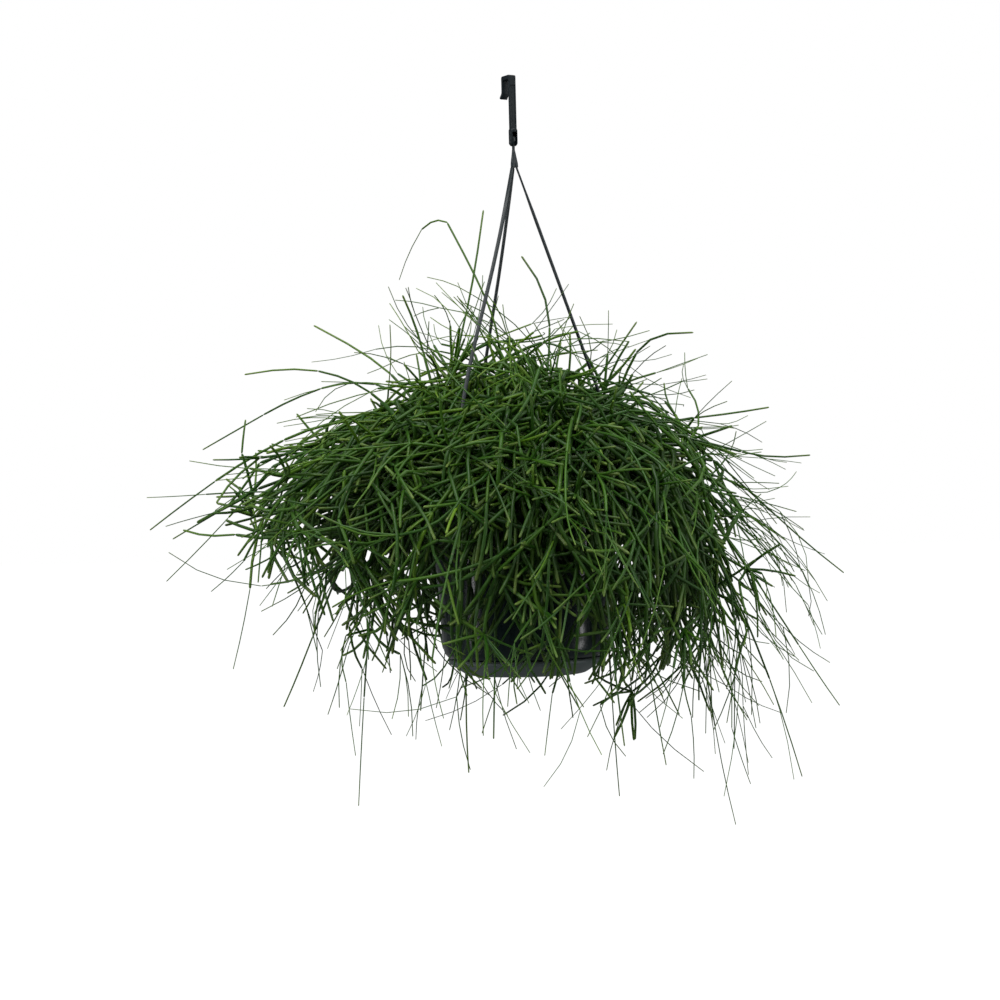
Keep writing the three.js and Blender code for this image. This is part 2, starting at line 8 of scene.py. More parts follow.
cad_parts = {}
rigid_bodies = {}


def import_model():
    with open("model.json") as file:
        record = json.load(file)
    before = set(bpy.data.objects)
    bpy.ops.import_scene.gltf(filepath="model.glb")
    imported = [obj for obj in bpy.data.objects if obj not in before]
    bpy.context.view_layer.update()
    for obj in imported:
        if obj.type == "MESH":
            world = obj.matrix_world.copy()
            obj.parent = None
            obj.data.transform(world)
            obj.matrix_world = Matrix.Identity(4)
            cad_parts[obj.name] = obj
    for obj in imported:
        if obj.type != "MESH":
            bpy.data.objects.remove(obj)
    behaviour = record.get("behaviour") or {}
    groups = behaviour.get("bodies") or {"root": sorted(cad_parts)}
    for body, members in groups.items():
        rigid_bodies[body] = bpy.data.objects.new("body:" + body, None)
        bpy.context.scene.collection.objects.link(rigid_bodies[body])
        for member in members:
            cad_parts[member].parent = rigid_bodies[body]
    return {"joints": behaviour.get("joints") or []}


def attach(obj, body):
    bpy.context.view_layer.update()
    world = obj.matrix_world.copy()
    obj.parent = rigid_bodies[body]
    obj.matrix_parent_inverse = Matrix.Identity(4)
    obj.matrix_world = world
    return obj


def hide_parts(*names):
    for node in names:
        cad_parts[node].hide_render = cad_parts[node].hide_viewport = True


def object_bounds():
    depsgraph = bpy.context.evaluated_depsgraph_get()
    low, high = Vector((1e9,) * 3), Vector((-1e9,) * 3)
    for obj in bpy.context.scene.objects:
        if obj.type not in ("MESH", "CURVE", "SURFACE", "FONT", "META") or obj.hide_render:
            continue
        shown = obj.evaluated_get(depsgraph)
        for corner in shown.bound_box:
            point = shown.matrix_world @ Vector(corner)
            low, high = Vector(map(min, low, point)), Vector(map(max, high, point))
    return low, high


# Shapes are worked out in millimetres round the swivel's upright axis, and go to metres as a mesh is made.
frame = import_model()
cadBox = np.array([list(corner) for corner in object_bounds()])
mm = 0.001
swivelAt = frame["joints"][0]["pos_m"]
axisAt = np.array([swivelAt[0] / mm, swivelAt[1] / mm, 0.0])

cameraSettings = {"aside": -15.4, "back": 1650, "height": -294.4, "lens": 84.85, "roll": -1.4}


def placeCamera():
    lens = bpy.data.cameras.new("camera")
    lens.lens = cameraSettings["lens"]
    lens.sensor_width = 36
    lens.clip_end = 50
    eye = bpy.data.objects.new("camera", lens)
    bpy.context.scene.collection.objects.link(eye)
    place = axisAt + (cameraSettings["aside"], -cameraSettings["back"], cameraSettings["height"])
    level = Matrix.Rotation(math.pi / 2, 4, "X")
    roll = Matrix.Rotation(math.radians(cameraSettings["roll"]), 4, "Z")
    eye.matrix_world = Matrix.Translation(place * mm) @ level @ roll
    bpy.context.scene.camera = eye


placeCamera()


# Closed surfaces from rings. rings is copies x rings x columns x 3: each ring joins the next,
# and the first and last close to a pole. marks holds a value for each ring, by attribute name.
def ringsMesh(name, rings, poles, marks=None):
    copies, count, columns, _ = rings.shape
    corners = np.concatenate([rings.reshape(-1, 3), poles.reshape(-1, 3)]) * mm
    corner = np.arange(copies * count * columns).reshape(copies, count, columns)
    low, high = corner[:, :-1], corner[:, 1:]
    quads = np.stack([low, np.roll(low, -1, 2), np.roll(high, -1, 2), high], -1).reshape(-1, 4)
    startPole = (corner.size + 2 * np.arange(copies))[:, None] + np.zeros(columns, int)
    first, last = corner[:, 0], corner[:, -1]
    startFan = np.stack([startPole, np.roll(first, -1, 1), first], -1).reshape(-1, 3)
    endFan = np.stack([startPole + 1, last, np.roll(last, -1, 1)], -1).reshape(-1, 3)
    fans = np.concatenate([startFan, endFan])
    mesh = bpy.data.meshes.new(name)
    mesh.vertices.add(len(corners))
    mesh.vertices.foreach_set("co", corners.astype(np.float32).ravel())
    mesh.loops.add(quads.size + fans.size)
    indices = np.concatenate([quads.ravel(), fans.ravel()])
    mesh.loops.foreach_set("vertex_index", indices.astype(np.int32))
    mesh.polygons.add(len(quads) + len(fans))
    starts = np.concatenate([np.arange(len(quads)) * 4, quads.size + np.arange(len(fans)) * 3])
    mesh.polygons.foreach_set("loop_start", starts.astype(np.int32))
    mesh.polygons.foreach_set("use_smooth", np.ones(len(starts), bool))
    for mark, values in (marks or {}).items():
        body = np.repeat(values[:, :, None], columns, 2).ravel()
        ends = np.stack([values[:, 0], values[:, -1]], 1).ravel()
        attribute = mesh.attributes.new(mark, "FLOAT", "POINT")
        attribute.data.foreach_set("value", np.concatenate([body, ends]).astype(np.float32))
    mesh.update(calc_edges=True)
    piece = bpy.data.objects.new(name, mesh)
    bpy.context.scene.collection.objects.link(piece)
    return piece


def evenAngles(count):
    return 2 * np.pi * np.arange(count) / count


# Points at a radius, aside of it and at a height, swung round the upright axis by an angle.
def swung(radius, aside, height, angle):
    cos, sin = np.cos(angle), np.sin(angle)
    x, y = radius * cos - aside * sin, radius * sin + aside * cos
    return np.stack([x, y, height + 0 * x], -1)


def axisEnds(low, high):
    return np.array([[0.0, 0.0, low], [0.0, 0.0, high]])


# A profile of radius and height, from the axis at the bottom out, up and back, swung full circle.
def turned(name, profile, sides, centre=(0, 0, 0)):
    profile = np.asarray(profile, float)
    rings = swung(profile[1:-1, 0, None], 0, profile[1:-1, 1, None], evenAngles(sides))
    poles = axisEnds(profile[0, 1], profile[-1, 1])
    return ringsMesh(name, (rings + axisAt + centre)[None], (poles + axisAt + centre)[None])


# Each inner corner of an open line becomes a parabola that leaves the line up to reach from the corner.
def softened(points, reach, steps=5):
    points = np.asarray(points, float)
    corner = points[1:-1]
    before, after = points[:-2] - corner, points[2:] - corner
    beforeLength = np.linalg.norm(before, axis=1)
    afterLength = np.linalg.norm(after, axis=1)
    reach = np.minimum(np.broadcast_to(reach, len(corner)), 0.45 * np.minimum(beforeLength, afterLength))
    start = corner + before * (reach / beforeLength)[:, None]
    end = corner + after * (reach / afterLength)[:, None]
    t = np.linspace(0, 1, steps)[None, :, None]
    curve = start[:, None] * (1 - t) ** 2 + corner[:, None] * 2 * t * (1 - t) + end[:, None] * t**2
    return np.concatenate([points[:1], curve.reshape(-1, points.shape[1]), points[-1:]])


# A rectangle from -1 to 1 each way, as columns x 2, with round corners as shares of its half sides.
def roundedSection(roundAcross, roundDeep, steps=3):
    quarter = np.linspace(0, np.pi / 2, steps)
    parts = []
    for k, (across, deep) in enumerate([(1, 1), (-1, 1), (-1, -1), (1, -1)]):
        turn = quarter + k * np.pi / 2
        x = across * (1 - roundAcross) + roundAcross * np.cos(turn)
        y = deep * (1 - roundDeep) + roundDeep * np.sin(turn)
        parts.append(np.stack([x, y], -1))
    return np.concatenate(parts)


# Cuts or joins solids with Boolean modifiers, applies them and removes the tools.
def boolean(piece, operation, *tools):
    for tool in tools:
        change = piece.modifiers.new(operation.lower(), "BOOLEAN")
        change.operation = operation
        change.object = tool
        change.solver = "EXACT"
    graph = bpy.context.evaluated_depsgraph_get()
    finished = bpy.data.meshes.new_from_object(piece.evaluated_get(graph), depsgraph=graph)
    piece.modifiers.clear()
    piece.data = finished
    for tool in tools:
        bpy.data.objects.remove(tool)


roundest = 0.9  # the most that a corner takes of a half side


# The matrix that turns rows of points about the upright axis.
def spin(degrees):
    turn = math.radians(degrees)
    cos, sin = math.cos(turn), math.sin(turn)
    return np.array([[cos, sin, 0], [-sin, cos, 0], [0, 0, 1]])


# An upright rod, round the axis at centre.
def rodTool(name, radius, low, high, centre=(0, 0, 0)):
    return turned(name, [(0, low), (radius, low), (radius, high), (0, high)], 32, centre)


# A box with round edges, turned about the upright axis at centre.
def boxTool(name, low, high, degrees, edge, centre=axisAt):
    low, high = np.asarray(low, float), np.asarray(high, float)
    middle, half = (low + high) / 2, (high - low) / 2
    section = roundedSection(min(roundest, edge / half[0]), min(roundest, edge / half[1]))
    inset = 1 - edge / half[:2].min()
    rings = np.stack([
        np.concatenate([section * scale, np.full((len(section), 1), z)], 1)
        for scale, z in ((inset, -1), (1, -1 + edge / half[2]), (1, 1 - edge / half[2]), (inset, 1))
    ])
    rings, poles = ((points * half + middle) @ spin(degrees) + centre for points in (rings, axisEnds(-1, 1)))
    return ringsMesh(name, rings[None], poles[None])


def crisp(piece, degrees=32):
    piece.data.set_sharp_from_angle(angle=math.radians(degrees))
    return piece


# Smooth noise from 0 to 1: hashed values on a cubic lattice, eased between its corners.
def latticeNoise(points, size, seed):
    cell = points / size
    low = np.floor(cell).astype(np.int64)
    share = cell - low
    share = share * share * (3 - 2 * share)
    total = np.zeros(len(points))
    for corner in np.ndindex(2, 2, 2):
        x, y, z = (low + corner).T
        mixed = (x * 73856093 ^ y * 19349663 ^ z * 83492791 ^ (seed + 1) * 2654435761) & 0xFFFFFFFF
        mixed = ((mixed ^ (mixed >> 15)) * 2246822519) & 0xFFFFFFFF
        mixed = (mixed ^ (mixed >> 13)) & 0xFFFFFF
        weight = np.prod(np.where(corner, share, 1 - share), axis=1)
        total += weight * mixed / 0xFFFFFF
    return total


def unit(vectors):
    return vectors / np.linalg.norm(vectors, axis=-1, keepdims=True)


def turnedAbout(vectors, axes, angles):
    cos, sin = np.cos(angles)[:, None], np.sin(angles)[:, None]
    along = (axes * vectors).sum(-1, keepdims=True)
    return vectors * cos + np.cross(axes, vectors) * sin + axes * along * (1 - cos)


def addNode(tree, kind, inputs=None, **settings):
    node = tree.nodes.new(kind)
    for key, value in settings.items():
        setattr(node, key, value)
    for key, value in (inputs or {}).items():
        if isinstance(value, bpy.types.NodeSocket):
            tree.links.new(value, node.inputs[key])
        else:
            node.inputs[key].default_value = value
    return node


def noise(tree, where, scale, detail, roughness=0.5):
    settings = {"Vector": where, "Scale": scale, "Detail": detail, "Roughness": roughness}
    return addNode(tree, "ShaderNodeTexNoise", settings).outputs[0]


def computed(tree, operation, *values):
    return addNode(tree, "ShaderNodeMath", dict(enumerate(values)), operation=operation).outputs[0]


def marked(tree, mark):
    return addNode(tree, "ShaderNodeAttribute", attribute_name=mark).outputs["Fac"]


def ramp(tree, factor, stops):
    node = addNode(tree, "ShaderNodeValToRGB", {0: factor})
    elements = node.color_ramp.elements
    while len(elements) < len(stops):
        elements.new(0.5)
    for element, (place, colour) in zip(elements, stops):
        element.position = place
        element.color = (*colour, 1) if len(colour) == 3 else colour
    return node.outputs["Color"]


def blended(tree, factor, under, over, mode="MIX"):
    under, over = ((*colour, 1) if isinstance(colour, tuple) else colour for colour in (under, over))
    node = addNode(tree, "ShaderNodeMix", {0: factor, 6: under, 7: over}, data_type="RGBA", blend_type=mode)
    return node.outputs[2]


def mapped(tree, value, fromLow, fromHigh, toLow, toHigh):
    ends = {0: value, 1: fromLow, 2: fromHigh, 3: toLow, 4: toHigh}
    return addNode(tree, "ShaderNodeMapRange", ends).outputs[0]


# A shader node group with named inputs and outputs. build(tree, inputs) returns the output sockets by name.
def newGroup(name, inputs, outputs, build):
    group = bpy.data.node_groups.new(name, "ShaderNodeTree")
    for label, kind, value in inputs:
        socket = group.interface.new_socket(label, in_out="INPUT", socket_type=kind)
        if value is not None:
            socket.default_value = value
    for label, kind in outputs:
        group.interface.new_socket(label, in_out="OUTPUT", socket_type=kind)
    entry = group.nodes.new("NodeGroupInput")
    leave = group.nodes.new("NodeGroupOutput")
    for label, socket in build(group, entry.outputs).items():
        group.links.new(socket, leave.inputs[label])
    return group


# Moulded plastic: fine grain in the height, slow patches in the gloss, and a mask of small pale scuffs.
def buildMouldedGrain(tree, entry):
    grain = noise(tree, entry["Vector"], entry["Grain"], 3.0)
    flow = noise(tree, entry["Vector"], 55.0, 4.0)
    fleck = noise(tree, entry["Vector"], 420.0, 4.0, 0.7)
    worn = computed(tree, "MULTIPLY", fleck, flow)
    return {
        "Height": computed(tree, "ADD", grain, flow),
        "Patches": mapped(tree, flow, 0.3, 0.7, 0.0, 1.0),
        "Scuffs": mapped(tree, worn, 0.34, 0.42, 0.0, 1.0),
    }


mouldedGrain = newGroup(
    "moulded grain",
    [("Vector", "NodeSocketVector", None), ("Grain", "NodeSocketFloat", 1500.0)],
    [("Height", "NodeSocketFloat"), ("Patches", "NodeSocketFloat"), ("Scuffs", "NodeSocketFloat")],
    buildMouldedGrain,
)


# Dust and dried splashes: more where the surface faces up, broken by noise and fine specks.
def buildSettledDust(tree, entry):
    facing = addNode(tree, "ShaderNodeNewGeometry")
    upward = addNode(tree, "ShaderNodeSeparateXYZ", {0: facing.outputs["Normal"]})
    cloud = noise(tree, entry["Vector"], 90.0, 5.0, 0.65)
    specks = addNode(tree, "ShaderNodeTexVoronoi", {"Vector": entry["Vector"], "Scale": 260.0})
    lying = mapped(tree, upward.outputs["Z"], 0.1, 1.0, 0.0, 0.75)
    patchy = computed(tree, "MULTIPLY", lying, mapped(tree, cloud, 0.35, 0.65, 0.0, 1.0))
    dotted = mapped(tree, specks.outputs["Distance"], 0.16, 0.08, 0.0, 1.0)
    splashed = computed(tree, "MULTIPLY", dotted, mapped(tree, cloud, 0.52, 0.62, 0.0, 1.0))
    dust = computed(tree, "MAXIMUM", patchy, splashed)
    return {"Dust": computed(tree, "MULTIPLY", dust, entry["Amount"])}


settledDust = newGroup(
    "settled dust",
    [("Vector", "NodeSocketVector", None), ("Amount", "NodeSocketFloat", 0.5)],
    [("Dust", "NodeSocketFloat")],
    buildSettledDust,
)


def newMaterial(name, specular):
    material = bpy.data.materials.new(name)
    material.use_nodes = True
    tree = material.node_tree
    shader = tree.nodes["Principled BSDF"]
    shader.inputs["Specular IOR Level"].default_value = specular
    where = addNode(tree, "ShaderNodeTexCoord").outputs["Object"]
    return material, tree, shader, where


# Gives a shader its colour and roughness, and a relief of a strength and depth from a height.
def surface(tree, shader, colour, roughness, strength, depth, height):
    relief = addNode(tree, "ShaderNodeBump", {"Strength": strength, "Distance": depth, "Height": height})
    sources = {"Base Color": colour, "Roughness": roughness, "Normal": relief.outputs[0]}
    for label, source in sources.items():
        tree.links.new(source, shader.inputs[label])


dustColour = (0.16, 0.145, 0.12)


# Moulded plastic of one colour: patches of tone and gloss, scuffs, dust on what faces up, and fine grain.
def plasticMaterial(name, look):
    material, tree, shader, where = newMaterial(name, look["specular"])
    grain = {"Vector": where, "Grain": look["grain"]}
    moulded = addNode(tree, "ShaderNodeGroup", grain, node_tree=mouldedGrain).outputs
    settled = addNode(tree, "ShaderNodeGroup", node_tree=settledDust)
    tree.links.new(where, settled.inputs["Vector"])
    settled.inputs["Amount"].default_value = look["dust"]
    dust = settled.outputs[0]
    toned = blended(tree, mapped(tree, moulded["Patches"], 0.0, 1.0, 0.0, 0.5), look["colour"], look["paler"])
    worn = tuple(1.9 * part for part in look["paler"])
    rubbed = blended(tree, computed(tree, "MULTIPLY", moulded["Scuffs"], look["scuffs"]), toned, worn)
    gloss = mapped(tree, moulded["Patches"], 0.0, 1.0, *look["roughness"])
    dusted, matt = blended(tree, dust, rubbed, dustColour), computed(tree, "MULTIPLY_ADD", dust, 0.5, gloss)
    surface(tree, shader, dusted, matt, look["bump"], 0.0004, moulded["Height"])
    return material


hookPlastic = plasticMaterial("charcoal hook plastic", {
    "colour": (0.005, 0.009, 0.011), "paler": (0.010, 0.015, 0.018), "roughness": (0.34, 0.48),
    "dust": 0.12, "grain": 1500.0, "bump": 0.12, "scuffs": 0.35, "specular": 0.15,
})
hangerPlastic = plasticMaterial("charcoal hanger plastic", {
    "colour": (0.012, 0.018, 0.020), "paler": (0.020, 0.027, 0.030), "roughness": (0.34, 0.48),
    "dust": 0.1, "grain": 1500.0, "bump": 0.12, "scuffs": 0.35, "specular": 0.28,
})
potPlastic = plasticMaterial("near-black pot plastic", {
    "colour": (0.0016, 0.0085, 0.0090), "paler": (0.0034, 0.0130, 0.0130), "roughness": (0.13, 0.24),
    "dust": 0.12, "grain": 900.0, "bump": 0.04, "scuffs": 0.12, "specular": 0.3,
})
saucerPlastic = plasticMaterial("dark grey saucer plastic", {
    "colour": (0.058, 0.080, 0.080), "paler": (0.085, 0.110, 0.108), "roughness": (0.42, 0.6),
    "dust": 0.4, "grain": 1500.0, "bump": 0.1, "scuffs": 0.4, "specular": 0.5,
})


def dress(piece, material, slot, body, *nodes):
    piece.data.materials.clear()
    piece.data.materials.append(material)
    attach(piece, body)
    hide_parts(*nodes)


# The hook, round the middle of its seat, which is at the frame's origin. Its own x runs from strip to leg.
hookSize = {
    "width": 5.6, "thick": 1.6, "mouth": 7.4, "bar": 3.0, "corner": 1.4, "innerCorner": 0.25,
    "legTop": -4, "legDrop": 9.4, "lipDrop": 3.4, "lipFlare": 2.6, "turn": 122, "edge": 0.35,
    "outerKnee": ((0, 1.4), (0.35, 0.3)), "innerKnee": ((0, 0.6), (0.25, -0.45)),
    "panel": (3.6, 0.4, -33.2, -4.2),  # width and depth of the sunk panel on the strip, and its ends
    "rib": (2.5, 0.25, -0.15, 0.45),  # half width, how proud it stands, and its edges from the panel's top
}
cage = {
    "top": -34.5, "bottom": -47.0, "radius": 3.1, "floor": -44.2, "windowTop": -37.2,
    "windowHalf": 2.0, "bore": 1.35, "slit": 2.2,
}


# A strip between an inner and an outer line of x and z points, as wide as width along y.
def stripBetween(name, inner, outer, width, edge, degrees):
    inner, outer = np.asarray(inner, float), np.asarray(outer, float)
    middle, half = (inner + outer) / 2, (outer - inner) / 2
    rings = []
    for centre, reach in zip(middle, half):
        section = roundedSection(min(roundest, edge / np.linalg.norm(reach)), edge / (width / 2))
        flat = centre + section[:, :1] * reach
        rings.append(np.stack([flat[:, 0], section[:, 1] * width / 2, flat[:, 1]], -1))
    ends = np.stack([[middle[k, 0], 0, middle[k, 1]] for k in (0, -1)])
    return ringsMesh(name, (np.array(rings) @ spin(degrees))[None], (ends @ spin(degrees))[None])


def buildHook():
    s = hookSize
    inside = s["mouth"] / 2
    outside = inside + s["thick"]
    high = s["bar"] - s["corner"]
    small = s["innerCorner"]
    share = np.linspace(0, 1, 6)
    strip = (cage["top"] - 1, -18, -1)  # heights of the rings along the strip
    lip = -s["legDrop"] - s["lipDrop"]

    def corner(x, start, end):
        angles = np.radians(np.linspace(start, end, 6))
        return [(x + s["corner"] * math.cos(a), high + s["corner"] * math.sin(a)) for a in angles]

    def leg(x, knee, tip):
        bend = [(x + aside, -s["legDrop"] + up) for aside, up in knee]
        flared = x + s["lipFlare"]
        return [(x, s["legTop"]), *bend, (flared - 0.3, tip + 0.5), (flared, tip)]

    outer = [
        *((-outside, z) for z in strip),
        *corner(-outside + s["corner"], 180, 90), *corner(outside - s["corner"], 90, 0),
        *leg(outside, s["outerKnee"], lip + 1),
    ]
    inner = [
        *((-inside, z) for z in strip),
        *((-inside + small * k, -small + small * k) for k in share),
        *((inside - small + small * k, -small * k) for k in share),
        *leg(inside, s["innerKnee"], lip),
    ]
    along = s["turn"]
    hook = stripBetween("hook_strip", inner, outer, s["width"], s["edge"], along)
    width, deep, low, top = s["panel"]
    panel = boxTool(
        "panel", (-outside - 2, -width / 2, low), (-outside + deep, width / 2, top), along, 0.3, (0, 0, 0))
    boolean(hook, "DIFFERENCE", panel)
    half, proud, below, above = s["rib"]
    rib = boxTool(
        "rib", (-outside - proud, -half, top + below), (-outside + 0.5, half, top + above), along, 0.15,
        (0, 0, 0))
    boolean(hook, "UNION", rib)

    c = cage
    line = softened([
        (0, c["bottom"]), (c["radius"] * 0.62, c["bottom"]), (c["radius"], c["bottom"] + 1.6),
        (c["radius"], c["top"] - 1.2), (c["radius"] * 0.75, c["top"]), (0, c["top"]),
    ], 0.7)
    sleeve = turned("hook_sleeve", line, 48)
    wide = c["windowHalf"]
    window = boxTool(
        "window", (-9, -wide, c["floor"]), (c["radius"] - 0.8, wide, c["windowTop"]), along, 0.4)
    low, high = c["bottom"] - 1, c["floor"] + 1
    slit = boxTool("slit", (-6, -c["slit"] / 2, low), (0, c["slit"] / 2, high), along, 0.1)
    boolean(sleeve, "DIFFERENCE", window, rodTool("bore", c["bore"], low, high), slit)
    boolean(hook, "UNION", sleeve)
    hook.name = "hook_and_sleeve"
    dress(crisp(hook), hookPlastic, "hook_plastic", "hook", "hook")
    print("hook:", len(hook.data.polygons), "faces")


buildHook()


# The hanger: a knob in the sleeve, a neck that spreads into three lobes, and three flat strands.
gap = 0.3  # left between moulded pieces
hub = {
    "knob": 1.7, "knobTop": -40.2, "knobRound": (0.6, 0.8), "neck": 1.0, "neckEnd": -49.5, "webEnd": -62.0,
    "web": 3.1, "webRise": (0.93, 3), "waist": 0.42,
}
strand = {
    "width": 2.6, "thick": 1.4, "rootRadius": 1.9, "directions": (-5, 115, 235), "bulge": (0, 25, 25),
    "steps": 9, "section": (0.42, 0.24, 4), "bendAbove": 7, "bendReach": 9.0, "twist": 32, "twistEase": 8,
    "clipRadius": 74.6, "barbWidth": 5.2, "barbThick": 2.2, "barbHeight": 2.4,
    "groove": (0.3, 0.6),  # depth and half width of the shallow channel along the outer face
}
pot = {
    "rim": -284.0, "flangeRadius": 79.5, "flangeThick": 2.0, "lipDrop": 8.5, "wall": 1.5,
    "floor": -120.0, "floorThick": 2.0, "inside": 52.0, "sides": 180, "lipWall": 1.2, "rimRound": 0.9,
    "mouth": ((70.4, 0), (69.0, -1.4)), "drain": (3.6, 30.0, 5), "skirt": (46.5, 5.4, 1.1),
    "bead": ((0.8, -4.0), (-0.5, -2.8), (-0.5, -0.1)),  # from the saucer's lip and the floor
    "soft": (0.5, 3.0, 5.0, 16.0, 12.0, 8.0, 0.8), "softInside": (6.0, 12.0, 16.0, 5.0, 2.0),
}
# Outside of the wall from the foot to the flange, radius and height below the rim
wallLine = np.array([
    (53.6, -120.1), (56.6, -117), (58.3, -110), (60.0, -72), (63.6, -36), (68.4, -14), (70.6, -2),
])
saucer = {
    "top": -120.6, "foot": -132.0, "footRadius": 41.5, "radius": 54.2, "lip": 48.5, "lipDepth": 1.8,
    "wall": 1.4, "band": ((-0.5, -3.2), (0, -1.4), (-1, 0)), "hollow": (-2.2, -2.4),
    "soft": (2.6, 1.2, 0.5, 0.5, 0.3, 0.5, 0.6, 2.4),
}
soil = {
    "edge": -13.0, "middle": -9.5, "reach": 66.0,
    "gap": 0.4, "sides": 110, "rows": 42, "fade": 6,
    "bumps": ((1.6, 7.0), (0.9, 2.4), (0.4, 1.1)), "sink": 1.5,  # height and width of each size of bump
}


def buildHub():
    h = hub
    seat = cage["floor"] + gap
    share, rise = h["webRise"]
    top, drop = h["knobRound"]
    line = softened([
        (0, h["webEnd"]), (h["web"], h["webEnd"]), (h["web"] * share, h["webEnd"] + rise),
        (h["neck"], h["neckEnd"]), (h["neck"], seat), (h["knob"], seat), (h["knob"], h["knobTop"] - drop),
        (h["knob"] * top, h["knobTop"]), (0, h["knobTop"]),
    ], 0.5)
    angle = evenAngles(72)
    radius, height = line[1:-1, 0, None], line[1:-1, 1, None]
    # Below the neck the round section sinks between the strands, so that three lobes run down into them
    spread = np.clip((h["neckEnd"] - height) / (h["neckEnd"] - h["webEnd"]), 0, 1)
    lobes = (1 + np.cos(3 * (angle - math.radians(strand["directions"][0])))) / 2
    radius = radius * (1 - h["waist"] * spread * (1 - lobes))
    rings = swung(radius, 0, height, angle) + axisAt
    poles = axisEnds(line[0, 1], line[-1, 1]) + axisAt
    piece = ringsMesh("hanger_knob_and_neck", rings[None], poles[None])
    dress(crisp(piece), hangerPlastic, "hanger_plastic", "basket", "hanger_hub")


# The strand's middle line in its own upright plane: down and out, pushed out by the stems lower down.
def strandLine(bulge, steps):
    top, bend = hub["webEnd"] - gap, pot["rim"] + strand["bendAbove"]
    t = np.linspace(0, 1, steps + 1)
    straight = strand["rootRadius"] + (strand["clipRadius"] - strand["rootRadius"]) * t
    return np.stack([straight + bulge * t * t * np.sin(np.pi * t), top + (bend - top) * t], -1)


def buildStrand(number, direction, bulge):
    s = strand
    end = pot["rim"] - pot["flangeThick"] - gap
    tip = np.array([(s["clipRadius"], end - s["barbHeight"])])
    line = softened(np.concatenate([strandLine(bulge, s["steps"]), tip]), s["bendReach"], 6)
    along = np.gradient(line, axis=0)
    along /= np.linalg.norm(along, axis=1, keepdims=True)
    outward = np.stack([-along[:, 1], along[:, 0]], -1)
    section = roundedSection(*s["section"])
    across, deep = section[:, 1] * s["width"] / 2, section[:, 0] * s["thick"] / 2
    sink, half = s["groove"]
    sunk = np.where(deep > 0.45 * s["thick"], sink * (np.abs(across) < half), 0)
    # Between its ends the strap is twisted a little about its own line
    t = np.linspace(0, 1, len(line))
    ease = s["twistEase"]
    twist = math.radians(s["twist"]) * np.clip(ease * t, 0, 1) * np.clip(ease * (1 - t), 0, 1)
    thick = (deep - sunk) * np.cos(twist)[:, None] - across * np.sin(twist)[:, None]
    wide = (deep - sunk) * np.sin(twist)[:, None] + across * np.cos(twist)[:, None]
    flat = line[:, None] + outward[:, None] * thick[..., None]
    turn = math.radians(direction)
    rings = swung(flat[..., 0], wide, flat[..., 1], turn) + axisAt
    poles = swung(line[[0, -1], 0], 0, line[[0, -1], 1], turn) + axisAt
    strap = ringsMesh("strand", rings[None], poles[None])
    half = s["barbThick"] / 2
    barb = boxTool(
        "barb", (s["clipRadius"] - half, -s["barbWidth"] / 2, end - s["barbHeight"]),
        (s["clipRadius"] + half, s["barbWidth"] / 2, end), direction, 0.4)
    boolean(strap, "UNION", barb)
    strap.name = f"hanger_strap_{number}"
    dress(crisp(strap, 40), hangerPlastic, "hanger_plastic", "basket", f"hanger_strand_{number}")


buildHub()
for number, (direction, bulge) in enumerate(zip(strand["directions"], strand["bulge"]), 1):
    buildStrand(number, direction, bulge)
print("hanger: a hub and", len(strand["directions"]), "strands")


def buildPot():
    p = pot
    floorTop = p["floor"] + p["floorThick"]
    skirt, drop, thick = p["skirt"]
    floor, rim = p["floor"], p["flangeRadius"]
    inside = (wallLine[1:-1] - (p["wall"], 0))[::-1]
    lower = [
        (0, floor), (skirt, floor), (skirt, floor - drop), (skirt + thick, floor - drop),
        *((saucer["lip"] + aside, floor + up) for aside, up in p["bead"]),
    ]
    flange = [
        (rim - p["lipWall"], -p["flangeThick"]), (rim - p["lipWall"], -p["lipDrop"]), (rim, -p["lipDrop"]),
        (rim, -p["rimRound"]), (rim - p["rimRound"], 0), *p["mouth"],
    ]
    points = np.array([*lower, *wallLine, *flange, *inside, (p["inside"], floorTop), (0, floorTop)])
    reach = np.full(len(points) - 2, 0.4)
    first = len(lower) - 1
    reach[first:first + len(wallLine)] = p["soft"]
    second = first + len(wallLine) + len(flange)
    reach[second:second + len(inside)] = p["softInside"]
    line = softened(points, reach, 7)
    piece = turned("pot", line, p["sides"], (0, 0, p["rim"]))
    deep, wide = strand["thick"] / 2 + gap, strand["width"] / 2 + gap
    near, far = strand["clipRadius"] - deep, strand["clipRadius"] + deep
    slots = [
        boxTool("slot", (near, -wide, p["rim"] - 5), (far, wide, p["rim"] + 2), direction, 0.3)
        for direction in strand["directions"]
    ]
    radius, ring, count = p["drain"]
    drains = [
        rodTool("drain", radius, floor - 1, floorTop + 1, place)
        for place in swung(ring, 0, p["rim"], evenAngles(count))
    ]
    boolean(piece, "DIFFERENCE", *slots, *drains)
    piece.name = "moulded_pot"
    dress(crisp(piece), potPlastic, "pot_plastic", "basket", "pot")
    print("pot:", len(piece.data.polygons), "faces")


def buildSaucer():
    s = saucer
    foot, top, lip = s["foot"], s["top"], s["lip"]
    band = [(s["radius"] + aside, top + up) for aside, up in (*s["band"], s["hollow"])]
    line = softened([
        (0, foot), (s["footRadius"], foot), *band[:3], (lip, top), (lip, top - s["lipDepth"]), band[3],
        (s["footRadius"] + 0.4, foot + s["wall"]), (0, foot + s["wall"]),
    ], s["soft"], 7)
    piece = turned("drip_saucer", line, pot["sides"], (0, 0, pot["rim"]))
    dress(crisp(piece), saucerPlastic, "saucer_plastic", "basket", "saucer")


buildPot()
buildSaucer()
print("saucer made")


